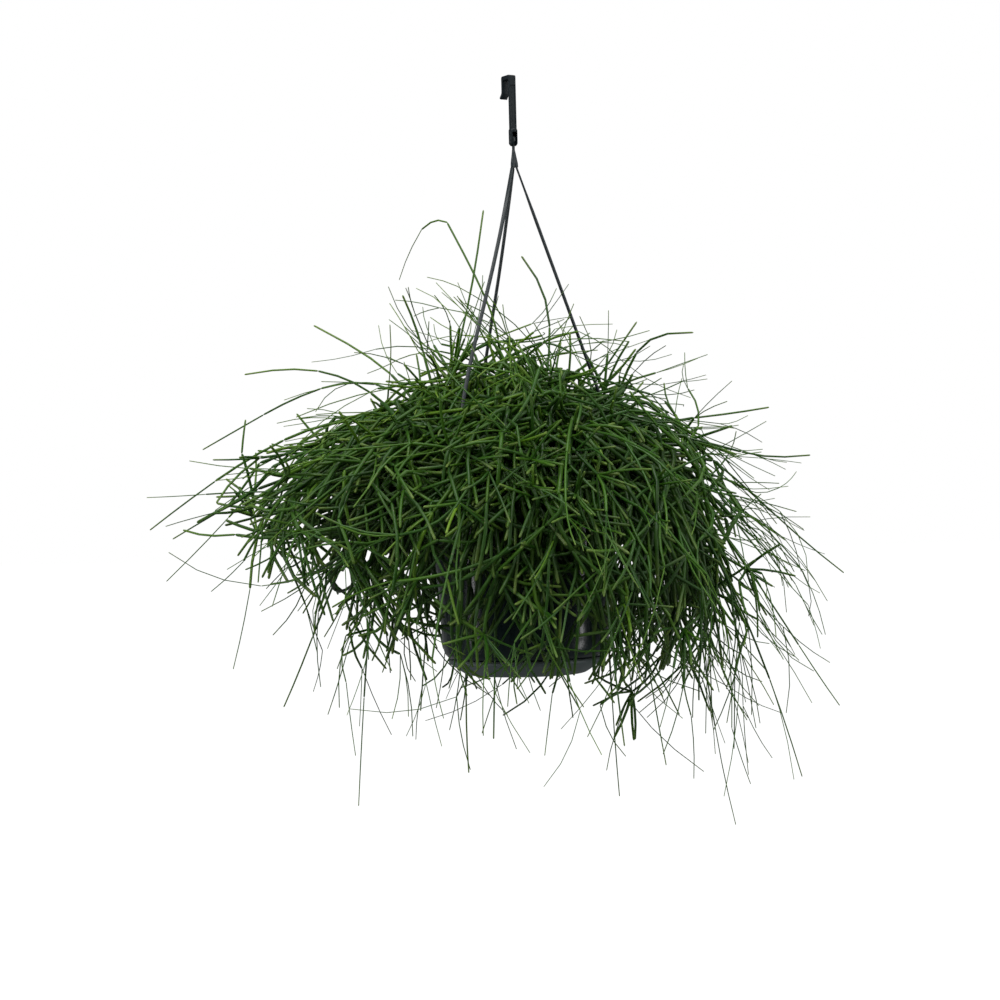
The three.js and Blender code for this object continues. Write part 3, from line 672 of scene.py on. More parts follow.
def soilHeight(x, y):
    share = np.minimum(1, np.hypot(x, y) / soil["reach"])
    return pot["rim"] + soil["middle"] + (soil["edge"] - soil["middle"]) * share


crumbs = {"seed": 21, "count": 900, "sizes": (0.7, 3.6), "reach": 64.0}


# Small lumps: a sphere of 3 rings by 6 columns, stretched and dented at random, one for each place.
def crumbMesh(name, places, sizes, rng):
    count = len(places)
    tilt = np.radians([[40], [90], [140]])
    ball = swung(np.sin(tilt), 0, -np.cos(tilt), evenAngles(6))
    stretch = rng.uniform(0.45, 1.0, (count, 1, 1, 3)) * sizes[:, None, None, None]
    dents = rng.uniform(0.72, 1.0, (count, 3, 6, 1))
    axis = unit(rng.normal(size=(count, 3)))
    angle = rng.uniform(0, np.pi, count)
    shape = (ball * stretch * dents).reshape(count, 18, 3)
    every = np.concatenate([shape, axisEnds(-1, 1) * stretch.reshape(count, 1, 3)], 1)
    every = turnedAbout(every, axis[:, None], angle[:, None]) + places[:, None]
    tone = {"lumpTone": np.repeat(rng.uniform(0, 1, count)[:, None], 3, 1)}
    return ringsMesh(name, every[:, :18].reshape(count, 3, 6, 3), every[:, 18:], tone)


def soilMaterial():
    material, tree, shader, where = newMaterial("potting mix", 0.25)
    coarse = noise(tree, where, 260.0, 6.0, 0.7)
    fine = noise(tree, where, 1400.0, 4.0)
    base = ramp(tree, coarse, [
        (0.3, (0.006, 0.0038, 0.0026)), (0.5, (0.022, 0.013, 0.008)), (0.72, (0.06, 0.036, 0.021))])
    barky = ramp(tree, marked(tree, "lumpTone"), [
        (0.0, (0.35, 0.35, 0.35)), (0.55, (0.9, 0.85, 0.8)), (0.86, (2.0, 1.6, 1.3)),
        (0.97, (4.2, 3.6, 3.0))])
    colour, gloss = blended(tree, 1.0, base, barky, "MULTIPLY"), mapped(tree, fine, 0.3, 0.7, 0.8, 1.0)
    surface(tree, shader, colour, gloss, 0.9, 0.0008, computed(tree, "ADD", coarse, fine))
    return material


def buildSoil():
    s = soil
    floorTop = pot["floor"] + pot["floorThick"] + s["gap"]
    side = wallLine[1:-1] - (pot["wall"] + s["gap"], 0)
    edge = side[-1] + (0.1, s["edge"] - side[-1, 1])
    radii = np.linspace(edge[0], 0, s["rows"] + 1)[:-1]
    top = np.stack([radii, np.interp(radii, (0, s["reach"]), (s["middle"], s["edge"]))], -1)
    profile = np.concatenate([[(pot["inside"] - s["gap"], floorTop)], side[:-1], top])
    radius = profile[:, 0, None]
    rings = swung(radius, 0, profile[:, 1, None] + pot["rim"], evenAngles(s["sides"]))
    # Only the top is lumpy, and it fades out where it meets the wall
    free = np.clip((edge[0] - radius) / s["fade"], 0, 1) * (np.arange(len(profile)) >= len(side))[:, None]
    flat = rings.reshape(-1, 3)
    lumpy = sum(rise * latticeNoise(flat, size, seed) for seed, (rise, size) in enumerate(s["bumps"], 1))
    rings[..., 2] += (lumpy - s["sink"]).reshape(len(profile), s["sides"]) * free
    poles = axisEnds(floorTop + pot["rim"], rings[-1, :, 2].mean())
    tone = {"lumpTone": np.full((1, len(profile)), 0.45)}
    bed = ringsMesh("potting_mix", (rings + axisAt)[None], (poles + axisAt)[None], tone)
    rng = np.random.default_rng(crumbs["seed"])
    count = crumbs["count"]
    out = crumbs["reach"] * np.sqrt(rng.uniform(0, 1, count))
    where = rng.uniform(0, 2 * np.pi, count)
    x, y = out * np.cos(where), out * np.sin(where)
    small, large = crumbs["sizes"]
    sizes = small + (large - small) * rng.uniform(0, 1, count) ** 4
    places = np.stack([x, y, soilHeight(x, y) + 0.1 * sizes], -1) + axisAt
    loose = crumbMesh("crumbs", places, sizes, rng)
    mixed = soilMaterial()
    dress(bed, mixed, "soil", "basket", "soil")
    dress(loose, mixed, "soil", "basket", "soil")
    print("soil:", len(bed.data.polygons) + len(loose.data.polygons), "faces")


buildSoil()


# The plant. The main stems follow the CAD's growth rule, with the same seed, so they lie where its do.
crown = {"rise": 6.0, "ring": 40.0, "count": 6, "firstDirection": 25.0}
mass = {
    "middle": -303.0,
    # Elevations in degrees, and how far the mass reaches there, mm
    "elevations": (-90, -60, -46, -25, -10, 0, 10, 25, 40, 60, 90),
    "east": (118, 150, 196, 176, 156, 148, 141, 129, 119, 112, 106),
    "west": (118, 136, 142, 152, 172, 206, 190, 140, 118, 114, 108),
    "front": (112, 150, 158, 158, 154, 150, 144, 134, 124, 115, 106),
}
growth = {
    "seed": 7, "most": 2000, "clearance": 0.7, "count": 190, "choices": 24, "lowSide": -62,
    "lowFront": -58, "depth": (0.7, 1), "beside": 7, "gather": 0.36, "stray": 26, "rise": (48, 74),
    "leave": (0.35, 0.75), "arrive": (0.3, 0.7), "sag": (0.1, 0.8), "fall": 1.6, "waver": 0.8,
    "bend": 0.2, "farther": 0.35, "joint": 52, "radii": (1.8, 1.7, 1.6, 1.5, 1.35, 1.2, 1.1),
    "guides": 80, "tries": 10, "dodge": 1.2, "steps": 25, "testSteps": 13,
    # Ends of the stems that stand out furthest, from the middle of the mass
    "farEnds": (
        (-48, 20, 206), (-22, -15, 210), (4, 30, 182), (-79, -30, 151), (85, 25, 133), (120, -35, 120),
        (-146, 40, 137), (-189, -30, 99), (-229, 50, 50), (-259, -10, -5), (-256, 40, -44), (178, 30, 70),
        (196, -50, 34), (227, 20, -49), (210, -40, -134), (-175, 50, -137), (-108, -60, -188),
        (-43, 70, -190), (12, -75, -202), (67, 80, -211), (147, 30, -227), (190, -20, -186),
        (30, -215, -20), (-60, -190, -90), (40, 200, -40), (-30, 215, 20), (90, -170, 40), (-90, 170, 70),
        (60, -150, -150), (-50, 160, -160), (-25, -110, -150), (35, 105, -155), (85, -95, -175),
        (-75, 90, -150)),
}
branches = {
    "share": 0.28, "rounds": 2, "radius": 0.88, "turn": (20, 55), "length": (26, 60),
    "shortening": 0.05, "sag": 0.3, "rate": 0.006, "beyond": 1.03,
}


# The CAD's own random numbers, from 0 to 1.
def seededRandom(seed):
    state = seed

    def draw():
        nonlocal state
        state = (state + 0x6D2B79F5) & 0xFFFFFFFF
        mixed = ((state ^ (state >> 15)) * (state | 1)) & 0xFFFFFFFF
        mixed ^= (mixed + (mixed ^ (mixed >> 7)) * (mixed | 61)) & 0xFFFFFFFF
        return (mixed ^ (mixed >> 14)) / 4294967296

    return draw


# Headings turned by an angle away from their lines, towards a roll round them.
def newHeadings(headings, angles, rolls):
    side = np.cross((0.0, 0.0, 1.0), headings)
    side[np.linalg.norm(side, axis=1) < 1e-3] = (1, 0, 0)
    side = turnedAbout(unit(side), headings, rolls)
    return unit(turnedAbout(headings, side, angles))


# The outline that stems keep clear of, from the saucer's foot to over the flange
potOutside = np.concatenate([
    [(saucer["footRadius"], saucer["foot"] - 4), (saucer["radius"], saucer["top"])],
    wallLine[:-1],
    [(wallLine[-2, 0], -pot["lipDrop"] - 2), (pot["flangeRadius"], -pot["lipDrop"] - 1.9)],
    [(pot["flangeRadius"], 2)],
])


def radiusAt(height):
    return np.interp(height, potOutside[:, 1], potOutside[:, 0], left=0, right=0)


# True where a stem of this radius has room beside the pot and over the soil.
def clearOfPot(points, radius):
    height = points[..., 2] - pot["rim"]
    out = np.hypot(points[..., 0], points[..., 1])
    room = radius + growth["clearance"]
    away = (out > pot["flangeRadius"] + 2 + room) | (height > 2 + room)
    mouth = wallLine[-1, 0] - pot["wall"] - room - 1
    over = (out < mouth) & (points[..., 2] > soilHeight(points[..., 0], points[..., 1]) + room)
    widest = np.maximum(radiusAt(height), radiusAt(height + room))
    return away | over | (out > widest + room)


# Shortest distances between segments a-b and c-d, row by row.
def segmentDistance(a, b, c, d):
    u, v, w = b - a, d - c, a - c
    uu, uv, vv = (u * u).sum(-1), (u * v).sum(-1), (v * v).sum(-1)
    uw, vw = (u * w).sum(-1), (v * w).sum(-1)
    flat = uu * vv - uv * uv
    s = np.where(flat > 1e-9, np.clip((uv * vw - vv * uw) / np.maximum(flat, 1e-9), 0, 1), 0)
    t = np.clip((uv * s + vw) / vv, 0, 1)
    s = np.clip((uv * t - uw) / uu, 0, 1)
    return np.linalg.norm(w + u * s[..., None] - v * t[..., None], axis=-1)


def strandPaths():
    for direction, bulge in zip(strand["directions"], strand["bulge"]):
        line = strandLine(bulge, strand["steps"] if bulge else 1)
        line = np.concatenate([line, [(strand["clipRadius"], pot["rim"])]])
        yield swung(line[:, 0], 0, line[:, 1], math.radians(direction))


paths = list(strandPaths())
strandStarts = np.concatenate([path[:-1] for path in paths])
strandEnds = np.concatenate([path[1:] for path in paths])


# For lines x points: True where a line is clear of the pot, the soil and the strands.
def clearOfPieces(points, radius):
    step = np.linspace(0, 1, 7)[None, None, :, None]
    spots = points[:, :-1, None] * (1 - step) + points[:, 1:, None] * step
    clear = clearOfPot(spots, radius[:, None, None]).all(axis=(1, 2))
    near = segmentDistance(points[:, :-1, None], points[:, 1:, None], strandStarts, strandEnds)
    room = radius + strand["width"] / 2 + growth["clearance"]
    return clear & (near >= room[:, None, None]).all(axis=(1, 2))


# True where a stem keeps clear of the others. Those that leave from one place only have to part beyond it.
def clearOfStems(points, radius, parent, clump, grown):
    stood = grown["count"]
    reach = np.linalg.norm(points[1] - points[0])
    apart = np.linalg.norm(grown["points"][:stood, 1] - points[1], axis=1)
    close = apart <= reach + grown["reach"][:stood] + radius + grown["radius"][:stood] + growth["clearance"]
    close &= np.arange(stood) != parent
    index = np.flatnonzero(close)
    others, room = grown["points"][index], radius + grown["radius"][index] + growth["clearance"]
    sibling = (grown["parent"][index] == parent) & (grown["clump"][index] == clump)
    gaps = segmentDistance(points[:2, None, None], points[1:, None, None], others[:, :2], others[:, 1:])
    tested = np.broadcast_to(~sibling[:, None], gaps.shape).copy()
    tested[1, :, 1] = True
    return not (tested & (gaps < room[:, None])).any()


def crownPlaces():
    angle = np.radians(crown["firstDirection"] + 360 * np.arange(crown["count"]) / crown["count"])
    around = swung(crown["ring"], 0, 0, angle)[:, :2]
    return np.concatenate([[(0.0, 0.0)], around])


def headingOf(direction, tilt):
    return np.stack([np.cos(tilt) * np.cos(direction), np.cos(tilt) * np.sin(direction), np.sin(tilt)], -1)


# Reach of the mass along the way to each point, and the distance of the point from its middle.
def massReach(points):
    x, y, z = points[..., 0], points[..., 1], points[..., 2] - mass["middle"]
    out = np.hypot(x, y)
    elevation = np.degrees(np.arctan2(z, out))
    sideways = x / np.maximum(out, 1e-6)
    sides = (mass[side] for side in ("east", "west", "front"))
    east, west, front = (np.interp(elevation, mass["elevations"], side) for side in sides)
    share = sideways**2
    return np.where(sideways > 0, east, west) * share + front * (1 - share), np.hypot(out, z)


# Points of each cubic Bezier curve at its own places, which is curves x points.
def alongCurves(curves, t):
    t = t[..., None]
    a, b, c, d = (curves[:, None, k] for k in range(4))
    return a * (1 - t) ** 3 + b * 3 * (1 - t) ** 2 * t + c * 3 * (1 - t) * t**2 + d * t**3


massMiddle = np.array([0.0, 0.0, mass["middle"]])
growthDraw = seededRandom(growth["seed"])


def between(low, high):
    return low + (high - low) * growthDraw()


def anyVector(size):
    return np.array([between(-size, size) for _ in range(3)])


# A curve that rises from a crown and bends over to its end in or past the mass.
def guideTo(end, start, loose):
    g = growth
    outward = unit(end - massMiddle)
    tilt = max(math.asin(outward[2]), math.radians(between(*g["rise"])))
    span = np.linalg.norm(end - start)
    first = start + headingOf(math.atan2(outward[1], outward[0]), tilt) * span * between(*g["leave"])
    coming = outward + anyVector(g["waver"] * loose)
    coming[2] -= between(*g["sag"]) + g["fall"] * max(0, -outward[2])
    last = end - unit(coming) * span * between(*g["arrive"])
    first = first + anyVector(g["bend"] * loose) * span
    return np.array([[start, first, last + anyVector(g["bend"] * loose) * span, end]])


def stand(grown, points, radius, parent, clump, order):
    here = grown["count"]
    if not clearOfPieces(points[None], np.array([radius]))[0]:
        return False
    if not clearOfStems(points, radius, parent, clump, grown):
        return False
    values = (points, np.linalg.norm(points[1] - points[0]), radius, parent, clump, order)
    for key, value in zip(("points", "reach", "radius", "parent", "clump", "order"), values):
        grown[key][here] = value
    grown["count"] += 1
    return True


# Stems from joint to joint along a curve. One that would touch another ends a little away from it.
def shootAlong(guide, clump, grown):
    g = growth
    line = alongCurves(guide, np.linspace(0, 1, g["steps"])[None])[0]
    length = np.linalg.norm(np.diff(line, axis=0), axis=1).sum()
    count = min(max(math.floor(length / g["joint"] + 0.5), 1), len(g["radii"]))
    knots = alongCurves(guide, np.arange(2 * count + 1)[None] / (2 * count))[0]
    drift, first = np.zeros(3), grown["count"]
    for order in range(count):
        parent = grown["count"] - 1 if order else -1
        start = grown["points"][parent, 2].copy() if order else knots[0]
        for attempt in range(g["tries"]):
            shift = anyVector(g["dodge"] * attempt)
            points = np.array([
                start, knots[2 * order + 1] + drift + shift * 0.5, knots[2 * order + 2] + drift + shift])
            if stand(grown, points, g["radii"][order], parent, clump, order):
                drift = drift + shift
                break
        else:
            break
    if grown["count"] - first <= count / 2:
        grown["count"] = first
    return grown["count"] > first


# A place in the outer part of the mass, or None where the pot is.
def anyEnd():
    g = growth
    direction = between(-math.pi, math.pi)
    sideways = math.cos(direction) ** 2
    low = math.radians((1 - sideways) * g["lowFront"] + sideways * g["lowSide"])
    heading = headingOf(direction, math.asin(between(math.sin(low), 1)))
    reach, _ = massReach(heading + massMiddle)
    end = massMiddle + heading * reach * between(*g["depth"])
    return end if clearOfPot(end, g["beside"]) else None


# Of a few places, the one furthest from the ends so far.
def emptiestEnd(ends):
    best, most = None, 0
    for _ in range(growth["choices"]):
        end = anyEnd()
        room = np.linalg.norm(np.array(ends) - end, axis=1).min() if end is not None else 0
        if room > most:
            best, most = end, room
    return best


# A stem leaves the end of another and turns outwards.
def growBranch(parent, grown):
    b = branches
    radius, clump, order = (grown[key][parent] for key in ("radius", "clump", "order"))
    _, start, end = grown["points"][parent]
    lean = unit(unit(end - massMiddle) - (0, 0, b["sag"]))
    along = unit(end - start)[None]
    for attempt in range(growth["tries"]):
        angle, roll = math.radians(between(*b["turn"])), between(0, 2 * math.pi)
        way = newHeadings(along, np.array([angle]), np.array([roll]))[0]
        half = between(*b["length"]) * (1 - b["shortening"] * attempt) / 2
        points = [end]
        for _ in range(2):
            way = unit(way + (lean - way) * b["rate"] * half)
            points.append(points[-1] + way * half)
        reach, away = massReach(points[2])
        if away < reach * b["beyond"] and stand(
                grown, np.array(points), radius * b["radius"], parent, clump, order + 1):
            break


def mainStems():
    g = growth
    most = g["most"]
    grown = {key: np.zeros(most, int) for key in ("parent", "clump", "order")}
    grown.update(count=0, points=np.zeros((most, 3, 3)), reach=np.zeros(most), radius=np.zeros(most))
    x, y = crownPlaces().T
    crowns = np.stack([x, y, soilHeight(x, y) + crown["rise"] - 1], -1)
    ends = [massMiddle + place for place in g["farEnds"]]
    while len(ends) < g["count"]:
        ends.append(emptiestEnd(ends))
    for i, end in enumerate(ends):
        place = end * g["gather"] + anyVector(g["stray"])
        clump = np.hypot(place[0] - crowns[:, 0], place[1] - crowns[:, 1]).argmin()
        loose = g["farther"] if i < len(g["farEnds"]) else 1
        for _ in range(g["guides"]):
            guide = guideTo(end, crowns[clump], loose)
            line = alongCurves(guide, np.linspace(0, 1, g["testSteps"])[None])
            if clearOfPieces(line, np.array([g["radii"][0]]))[0] and shootAlong(guide, clump, grown):
                break
    for _ in range(branches["rounds"]):
        orders = grown["order"][:grown["count"]]
        chosen = [k for k, order in enumerate(orders) if order and growthDraw() < branches["share"]]
        for parent in chosen:
            growBranch(parent, grown)
    total = grown.pop("count")
    return {key: values[:total] for key, values in grown.items()}


# The rest of the growth. Each shoot is a Bezier curve from the soil into the mass, jointed into stems.
shoots = {
    "seed": 12, "count": 1300, "batch": 3, "tries": 40, "steps": 25, "thinned": 1.4, "thickest": 1.6,
    "lowest": -76, "levels": (0.85, 1.15), "farther": 1.3, "depth": (0.3, 0.93), "shallow": (1.5, 1.2),
    "bed": 50.0, "lift": 3, "aside": 36, "rise": (42, 74), "leave": (0.35, 0.75), "arrive": (0.3, 0.7),
    "outward": 0.25, "onward": 1.8, "farPower": 6, "bulge": 1.04, "sag": (0.2, 1.1), "fall": 1.6,
    "waver": 0.6, "bend": 0.14, "joint": 50.0, "jitter": 0.22, "kink": 3.2, "margin": 2.5,
    "radii": (1.55, 1.55, 1.5, 1.45, 1.35, 1.25, 1.15), "radiusSpread": (0.84, 1.08),
}
# How the mass differs from its plain shape: direction and elevation of each place, how wide it is, and
# what it adds to the reach and to the number of shoots
swells = (
    (180, 62, 24, 0.06, 0.2), (180, 82, 18, 0.04, 0.1), (0, 63, 24, -0.11, -0.4),
    (180, 30, 20, -0.08, -0.35), (180, 2, 34, 0.0, -0.85), (180, 9, 17, 0.2, 1.4),
    (180, -34, 24, 0.02, 0.3), (200, -64, 26, -0.06, -0.75), (0, 25, 25, -0.05, -0.3),
    (0, -26, 20, -0.06, -0.2), (0, -52, 24, -0.08, -0.4), (0, -90, 42, -0.05, -0.2),
    (-105, -30, 26, 0.0, 0.7),
)
tufts = {"grid": 0.34, "deepest": 0.5, "seed": 5}  # how patchy the shoots are by direction
# Rounds of forked stems: where their parents end as shares of the reach, the shares of bare ends and of
# joints that fork, into how many, and how much of that is kept at the front and back
forks = (
    {"from": 0.45, "upTo": 0.95, "shares": (0.8, 0.14), "count": (2, 4), "turn": (14, 42), "length": (36, 76),
     "radius": (1.15, 1.42), "curl": 0.013, "beyond": 0.95, "frontShare": 1.0, "outward": 0.3},
    {"from": 0.70, "upTo": 1.0, "shares": (0.55, 0.05), "count": (1, 4), "turn": (14, 44), "length": (28, 64),
     "radius": (1.0, 1.3), "curl": 0.014, "beyond": 1.0, "frontShare": 1.0, "outward": 0.35},
    {"from": 0.88, "upTo": 2.0, "shares": (0.9, 0.1), "count": (2, 4), "turn": (8, 30), "length": (22, 54),
     "radius": (0.6, 0.95), "curl": 0.010, "beyond": 1.14, "frontShare": 0.05, "outward": 0.7},
    {"from": 0.98, "upTo": 2.0, "shares": (0.95, 0.12), "count": (1, 4), "turn": (6, 26), "length": (26, 72),
     "radius": (0.32, 0.46), "curl": 0.009, "beyond": 1.36, "frontShare": 0.05, "outward": 0.7},
    {"from": 1.08, "upTo": 2.0, "shares": (0.6, 0.0), "count": (1, 3), "turn": (6, 24), "length": (26, 64),
     "radius": (0.28, 0.38), "curl": 0.009, "beyond": 1.56, "frontShare": 0.05, "outward": 0.7},
)
# What all forks share. Low forks hang, by the settings that name low, in step with how low they start
forking = {
    "crowding": 1.3, "least": 0.15, "past": 14, "alone": 0.5, "rollNoise": 0.35, "lowTurn": 0.45,
    "lowOutward": 0.3, "keep": 0.5, "lowInward": 0.4, "sag": 0.35, "lowSag": 0.7, "leanNoise": 0.35,
    "lowCalm": 0.5, "rate": 0.010, "lowRate": 0.012, "lowLonger": 0.7, "slim": 0.8, "slimFrom": 1.05,
    "slimmer": 0.88, "thick": 0.5,
    "lowThin": ((-430, -380), (0.6, 1)),  # what is left of thicker ones' radius, by the height they end at
}
whorls = {
    "share": 0.04, "from": 0.75, "upTo": 1.0, "count": (4, 8), "length": (18, 44), "radius": (0.85, 1.1),
    "spread": (25, 85), "curl": 0.008, "order": 7,
}


def insideBox(points):
    low, high = cadBox / mm - axisAt
    margin = shoots["margin"]
    return ((points > low + margin) & (points < high - margin)).all(axis=(1, 2))


# What the swells make of the reach and of the share of shoots, each a bell of the angle from its middle.
def swellGains(ways):
    reach, share = np.ones(len(ways)), np.ones(len(ways))
    for direction, tilt, width, further, fuller in swells:
        angle = np.arccos(np.clip(ways @ headingOf(*np.radians([direction, tilt])), -1, 1))
        bell = np.exp(-((angle / math.radians(width)) ** 2))
        reach += further * bell
        share *= 1 + fuller * bell
    return reach, share * (1 - tufts["deepest"] * latticeNoise(ways, tufts["grid"], tufts["seed"]))


# Control points of curves that rise from the bed and bend over to their places in the mass.
def shootCurves(count, rng):
    s = shoots
    direction = rng.uniform(-np.pi, np.pi, count)
    low = math.sin(math.radians(s["lowest"]))
    tilt = np.arcsin(low + (1 - low) * rng.beta(*s["levels"], count))
    target = headingOf(direction, tilt)
    reach, _ = massReach(target + massMiddle)
    further, share = swellGains(target)
    reach = reach * further
    kept = rng.uniform(0, 1, count) < (reach / reach.max()) ** s["farther"] * share / s["thinned"]
    direction, tilt, target, reach = direction[kept], tilt[kept], target[kept], reach[kept]
    count = len(reach)
    depth = s["depth"][0] + (s["depth"][1] - s["depth"][0]) * rng.beta(*s["shallow"], count)
    end = target * (reach * depth)[:, None] + massMiddle
    around = direction + np.radians(rng.normal(0, s["aside"], count))
    out = s["bed"] * np.clip(np.cos(tilt), 0, 1) ** 0.5 * rng.uniform(0.3, 1, count) ** 0.5
    x, y = out * np.cos(around), out * np.sin(around)
    start = np.stack([x, y, soilHeight(x, y) + s["lift"]], -1)
    rise = np.maximum(tilt, np.radians(rng.uniform(*s["rise"], count)))
    span = np.linalg.norm(end - start, axis=1)[:, None]
    first = start + headingOf(direction, rise) * span * rng.uniform(*s["leave"], (count, 1))
    far = (reach / reach.max()) ** s["farPower"]  # those that reach furthest arrive outwards
    coming = target * (s["outward"] + s["onward"] * far)[:, None] + rng.normal(0, s["waver"], (count, 3))
    coming[:, 2] -= rng.uniform(*s["sag"], count) + s["fall"] * np.maximum(0, -target[:, 2])
    last = end - unit(coming) * span * rng.uniform(*s["arrive"], (count, 1))
    first, last = (middle + rng.normal(0, s["bend"], (count, 3)) * span for middle in (first, last))
    return np.stack([start, first, last, end], 1)


# Curves that keep clear of the pot, the soil and the strands, with the number of stems along each.
def clearCurves(rng):
    s = shoots
    found, missing = [], s["count"]
    for _ in range(s["tries"]):
        curves = shootCurves(s["batch"] * s["count"], rng)
        line = alongCurves(curves, np.linspace(0, 1, s["steps"])[None] + np.zeros((len(curves), 1)))
        thickest = np.full(len(curves), s["thickest"])
        reach, away = massReach(line)
        good = insideBox(line) & (away < s["bulge"] * reach).all(axis=1)
        for k in range(0, s["steps"] - 2, 2):
            good[good] = clearOfPieces(line[good, k:k + 3], thickest[good])
        length = np.linalg.norm(np.diff(line[good], axis=1), axis=2).sum(1)
        found.append((curves[good][:missing], length[:missing]))
        missing -= len(found[-1][0])
        if missing <= 0:
            break
    curves, length = (np.concatenate(values) for values in zip(*found))
    return curves, np.clip(np.round(length / s["joint"]), 1, len(s["radii"])).astype(int)


def mainShoots(rng):
    s = shoots
    curves, joints = clearCurves(rng)
    places = crownPlaces()
    parts, total = [], 0
    for number in range(1, len(s["radii"]) + 1):
        own = curves[joints == number]
        if not len(own):
            continue
        knots = np.arange(number + 1) + rng.uniform(-s["jitter"], s["jitter"], (len(own), number + 1))
        knots[:, 0], knots[:, -1] = 0, number
        knots /= number
        ends = alongCurves(own, knots)
        halves = alongCurves(own, (knots[:, 1:] + knots[:, :-1]) / 2)
        halves += rng.normal(0, s["kink"], halves.shape)
        here = total + np.arange(len(own) * number).reshape(len(own), number)
        clump = np.linalg.norm(own[:, 0, None, :2] - places, axis=2).argmin(axis=1)
        thickness = rng.uniform(*s["radiusSpread"], (len(own), 1)) * np.array(s["radii"])[:number]
        orders = np.arange(number)
        parts.append({
            "points": np.stack([ends[:, :-1], halves, ends[:, 1:]], 2).reshape(-1, 3, 3),
            "radius": thickness.ravel(), "clump": np.repeat(clump, number),
            "order": np.tile(orders, len(own)), "parent": np.where(orders > 0, here - 1, -1).ravel(),
        })
        total += len(own) * number
    return together(parts)


# Points of each stem. Its heading turns towards its lean, and by a curl, both in shares a millimetre.
def leaningPoints(starts, headings, lengths, leans, rates, curls):
    points, way = [starts], headings
    half = lengths[:, None] / 2
    for _ in range(2):
        way = unit(way + ((leans - way) * rates[:, None] + curls) * half)
        points.append(points[-1] + way * half)
    return np.stack(points, 1)


# Those of the new stems that have room, as the next order on their parents.
def standing(stems, parent, points, radius, order, wanted=True):
    good = insideBox(points) & clearOfPieces(points, radius) & wanted
    return {
        "points": points[good], "radius": radius[good], "clump": stems["clump"][parent[good]],
        "order": np.full(good.sum(), order), "parent": parent[good],
    }


def endWays(stems):
    return unit(stems["points"][:, 2] - stems["points"][:, 1])


# Whorls of young stems, at the joints near the outside.
def whorlStems(stems, rng):
    w = whorls
    reach, away = massReach(stems["points"][:, 2])
    drawn = rng.uniform(0, 1, len(reach)) < w["share"]
    near = (away > w["from"] * reach) & (away < w["upTo"] * reach)
    chosen = np.flatnonzero(drawn & near & (stems["order"] >= 1))
    parent = np.repeat(chosen, rng.integers(*w["count"], len(chosen)))
    count = len(parent)
    angles = np.radians(rng.uniform(*w["spread"], count))
    headings = newHeadings(endWays(stems)[parent], angles, rng.uniform(0, 2 * np.pi, count))
    points = leaningPoints(
        stems["points"][parent, 2], headings, rng.uniform(*w["length"], count), headings, np.zeros(count),
        rng.normal(0, w["curl"], (count, 3)))
    return standing(stems, parent, points, rng.uniform(*w["radius"], count), w["order"])


# Forks of stems, spread evenly round the way that their parent ends, and bending outwards and down.
def forkStems(stems, rng, fork, order):
    f = forking
    ends = stems["points"][:, 2]
    reach, away = massReach(ends)
    further, share = swellGains(unit(ends - massMiddle))
    reach = reach * further
    share *= 1 - (1 - fork["frontShare"]) * np.abs(ends[:, 1] / away)
    bare = ~np.isin(np.arange(len(ends)), stems["parent"])
    chance = np.where(bare, *fork["shares"]) * np.clip(f["crowding"] * share, f["least"], 1)
    drawn = rng.uniform(0, 1, len(ends)) < chance
    chosen = np.flatnonzero(drawn & (away > fork["from"] * reach) & (away < fork["upTo"] * reach))
    number = rng.integers(*fork["count"], len(chosen))
    parent, members = np.repeat(chosen, number), np.repeat(number, number)
    count = len(parent)
    member = np.arange(count) - np.repeat(np.cumsum(number) - number, number)
    rolls = np.repeat(rng.uniform(0, 2 * np.pi, len(chosen)), number) + 2 * np.pi * member / members
    outward = unit(ends[parent] - massMiddle)
    low = np.clip(-outward[:, 2:], 0, 1)
    hanging = low[:, 0] * (1 - fork["frontShare"])
    angles = np.radians(rng.uniform(*fork["turn"], count))
    angles = angles * np.where(members > 1, 1, f["alone"]) * (1 - f["lowTurn"] * low[:, 0])
    headings = newHeadings(endWays(stems)[parent], angles, rolls + rng.normal(0, f["rollNoise"], count))
    headings = unit(headings + (outward * f["lowOutward"] - (0, 0, 1.0)) * low)
    leans = headings * f["keep"] + outward * (fork["outward"] - f["lowInward"] * low)
    leans = leans - (0, 0, f["sag"]) - (0, 0, f["lowSag"]) * low
    leans = unit(leans + rng.normal(0, f["leanNoise"], (count, 3)) * (1 - f["lowCalm"] * low))
    lengths = rng.uniform(*fork["length"], count) * (1 + f["lowLonger"] * hanging)
    rates, curls = f["rate"] + f["lowRate"] * low[:, 0], rng.normal(0, fork["curl"], (count, 3))
    points = leaningPoints(ends[parent], headings, lengths, leans, rates, curls)
    reachThere, awayThere = massReach(points[:, 2])
    limit = fork["beyond"] * reachThere * swellGains(unit(points[:, 2] - massMiddle))[0]
    inside = awayThere < np.maximum(limit, away[parent] + f["past"])
    radius, parentRadius = rng.uniform(*fork["radius"], count), stems["radius"][parent]
    slim = (parentRadius < f["slim"]) | (away > f["slimFrom"] * reach)[parent]
    radius = np.where(slim, np.minimum(radius, f["slimmer"] * parentRadius), radius)
    if fork["radius"][1] > f["thick"]:
        radius *= np.interp(points[:, 2, 2], *f["lowThin"])
    return standing(stems, parent, points, radius, order, inside)


def together(parts):
    return {key: np.concatenate([part[key] for part in parts]) for key in parts[0]}


thinning = {
    "main": (0.85, 0.85, 0.84, 0.8, 0.72, 0.62, 0.55),  # by order, as shares of the radius in the CAD
    "outwards": ((0.92, 1.22), (1, 0.62)),  # share of the mass's reach, and of the radius left there
}


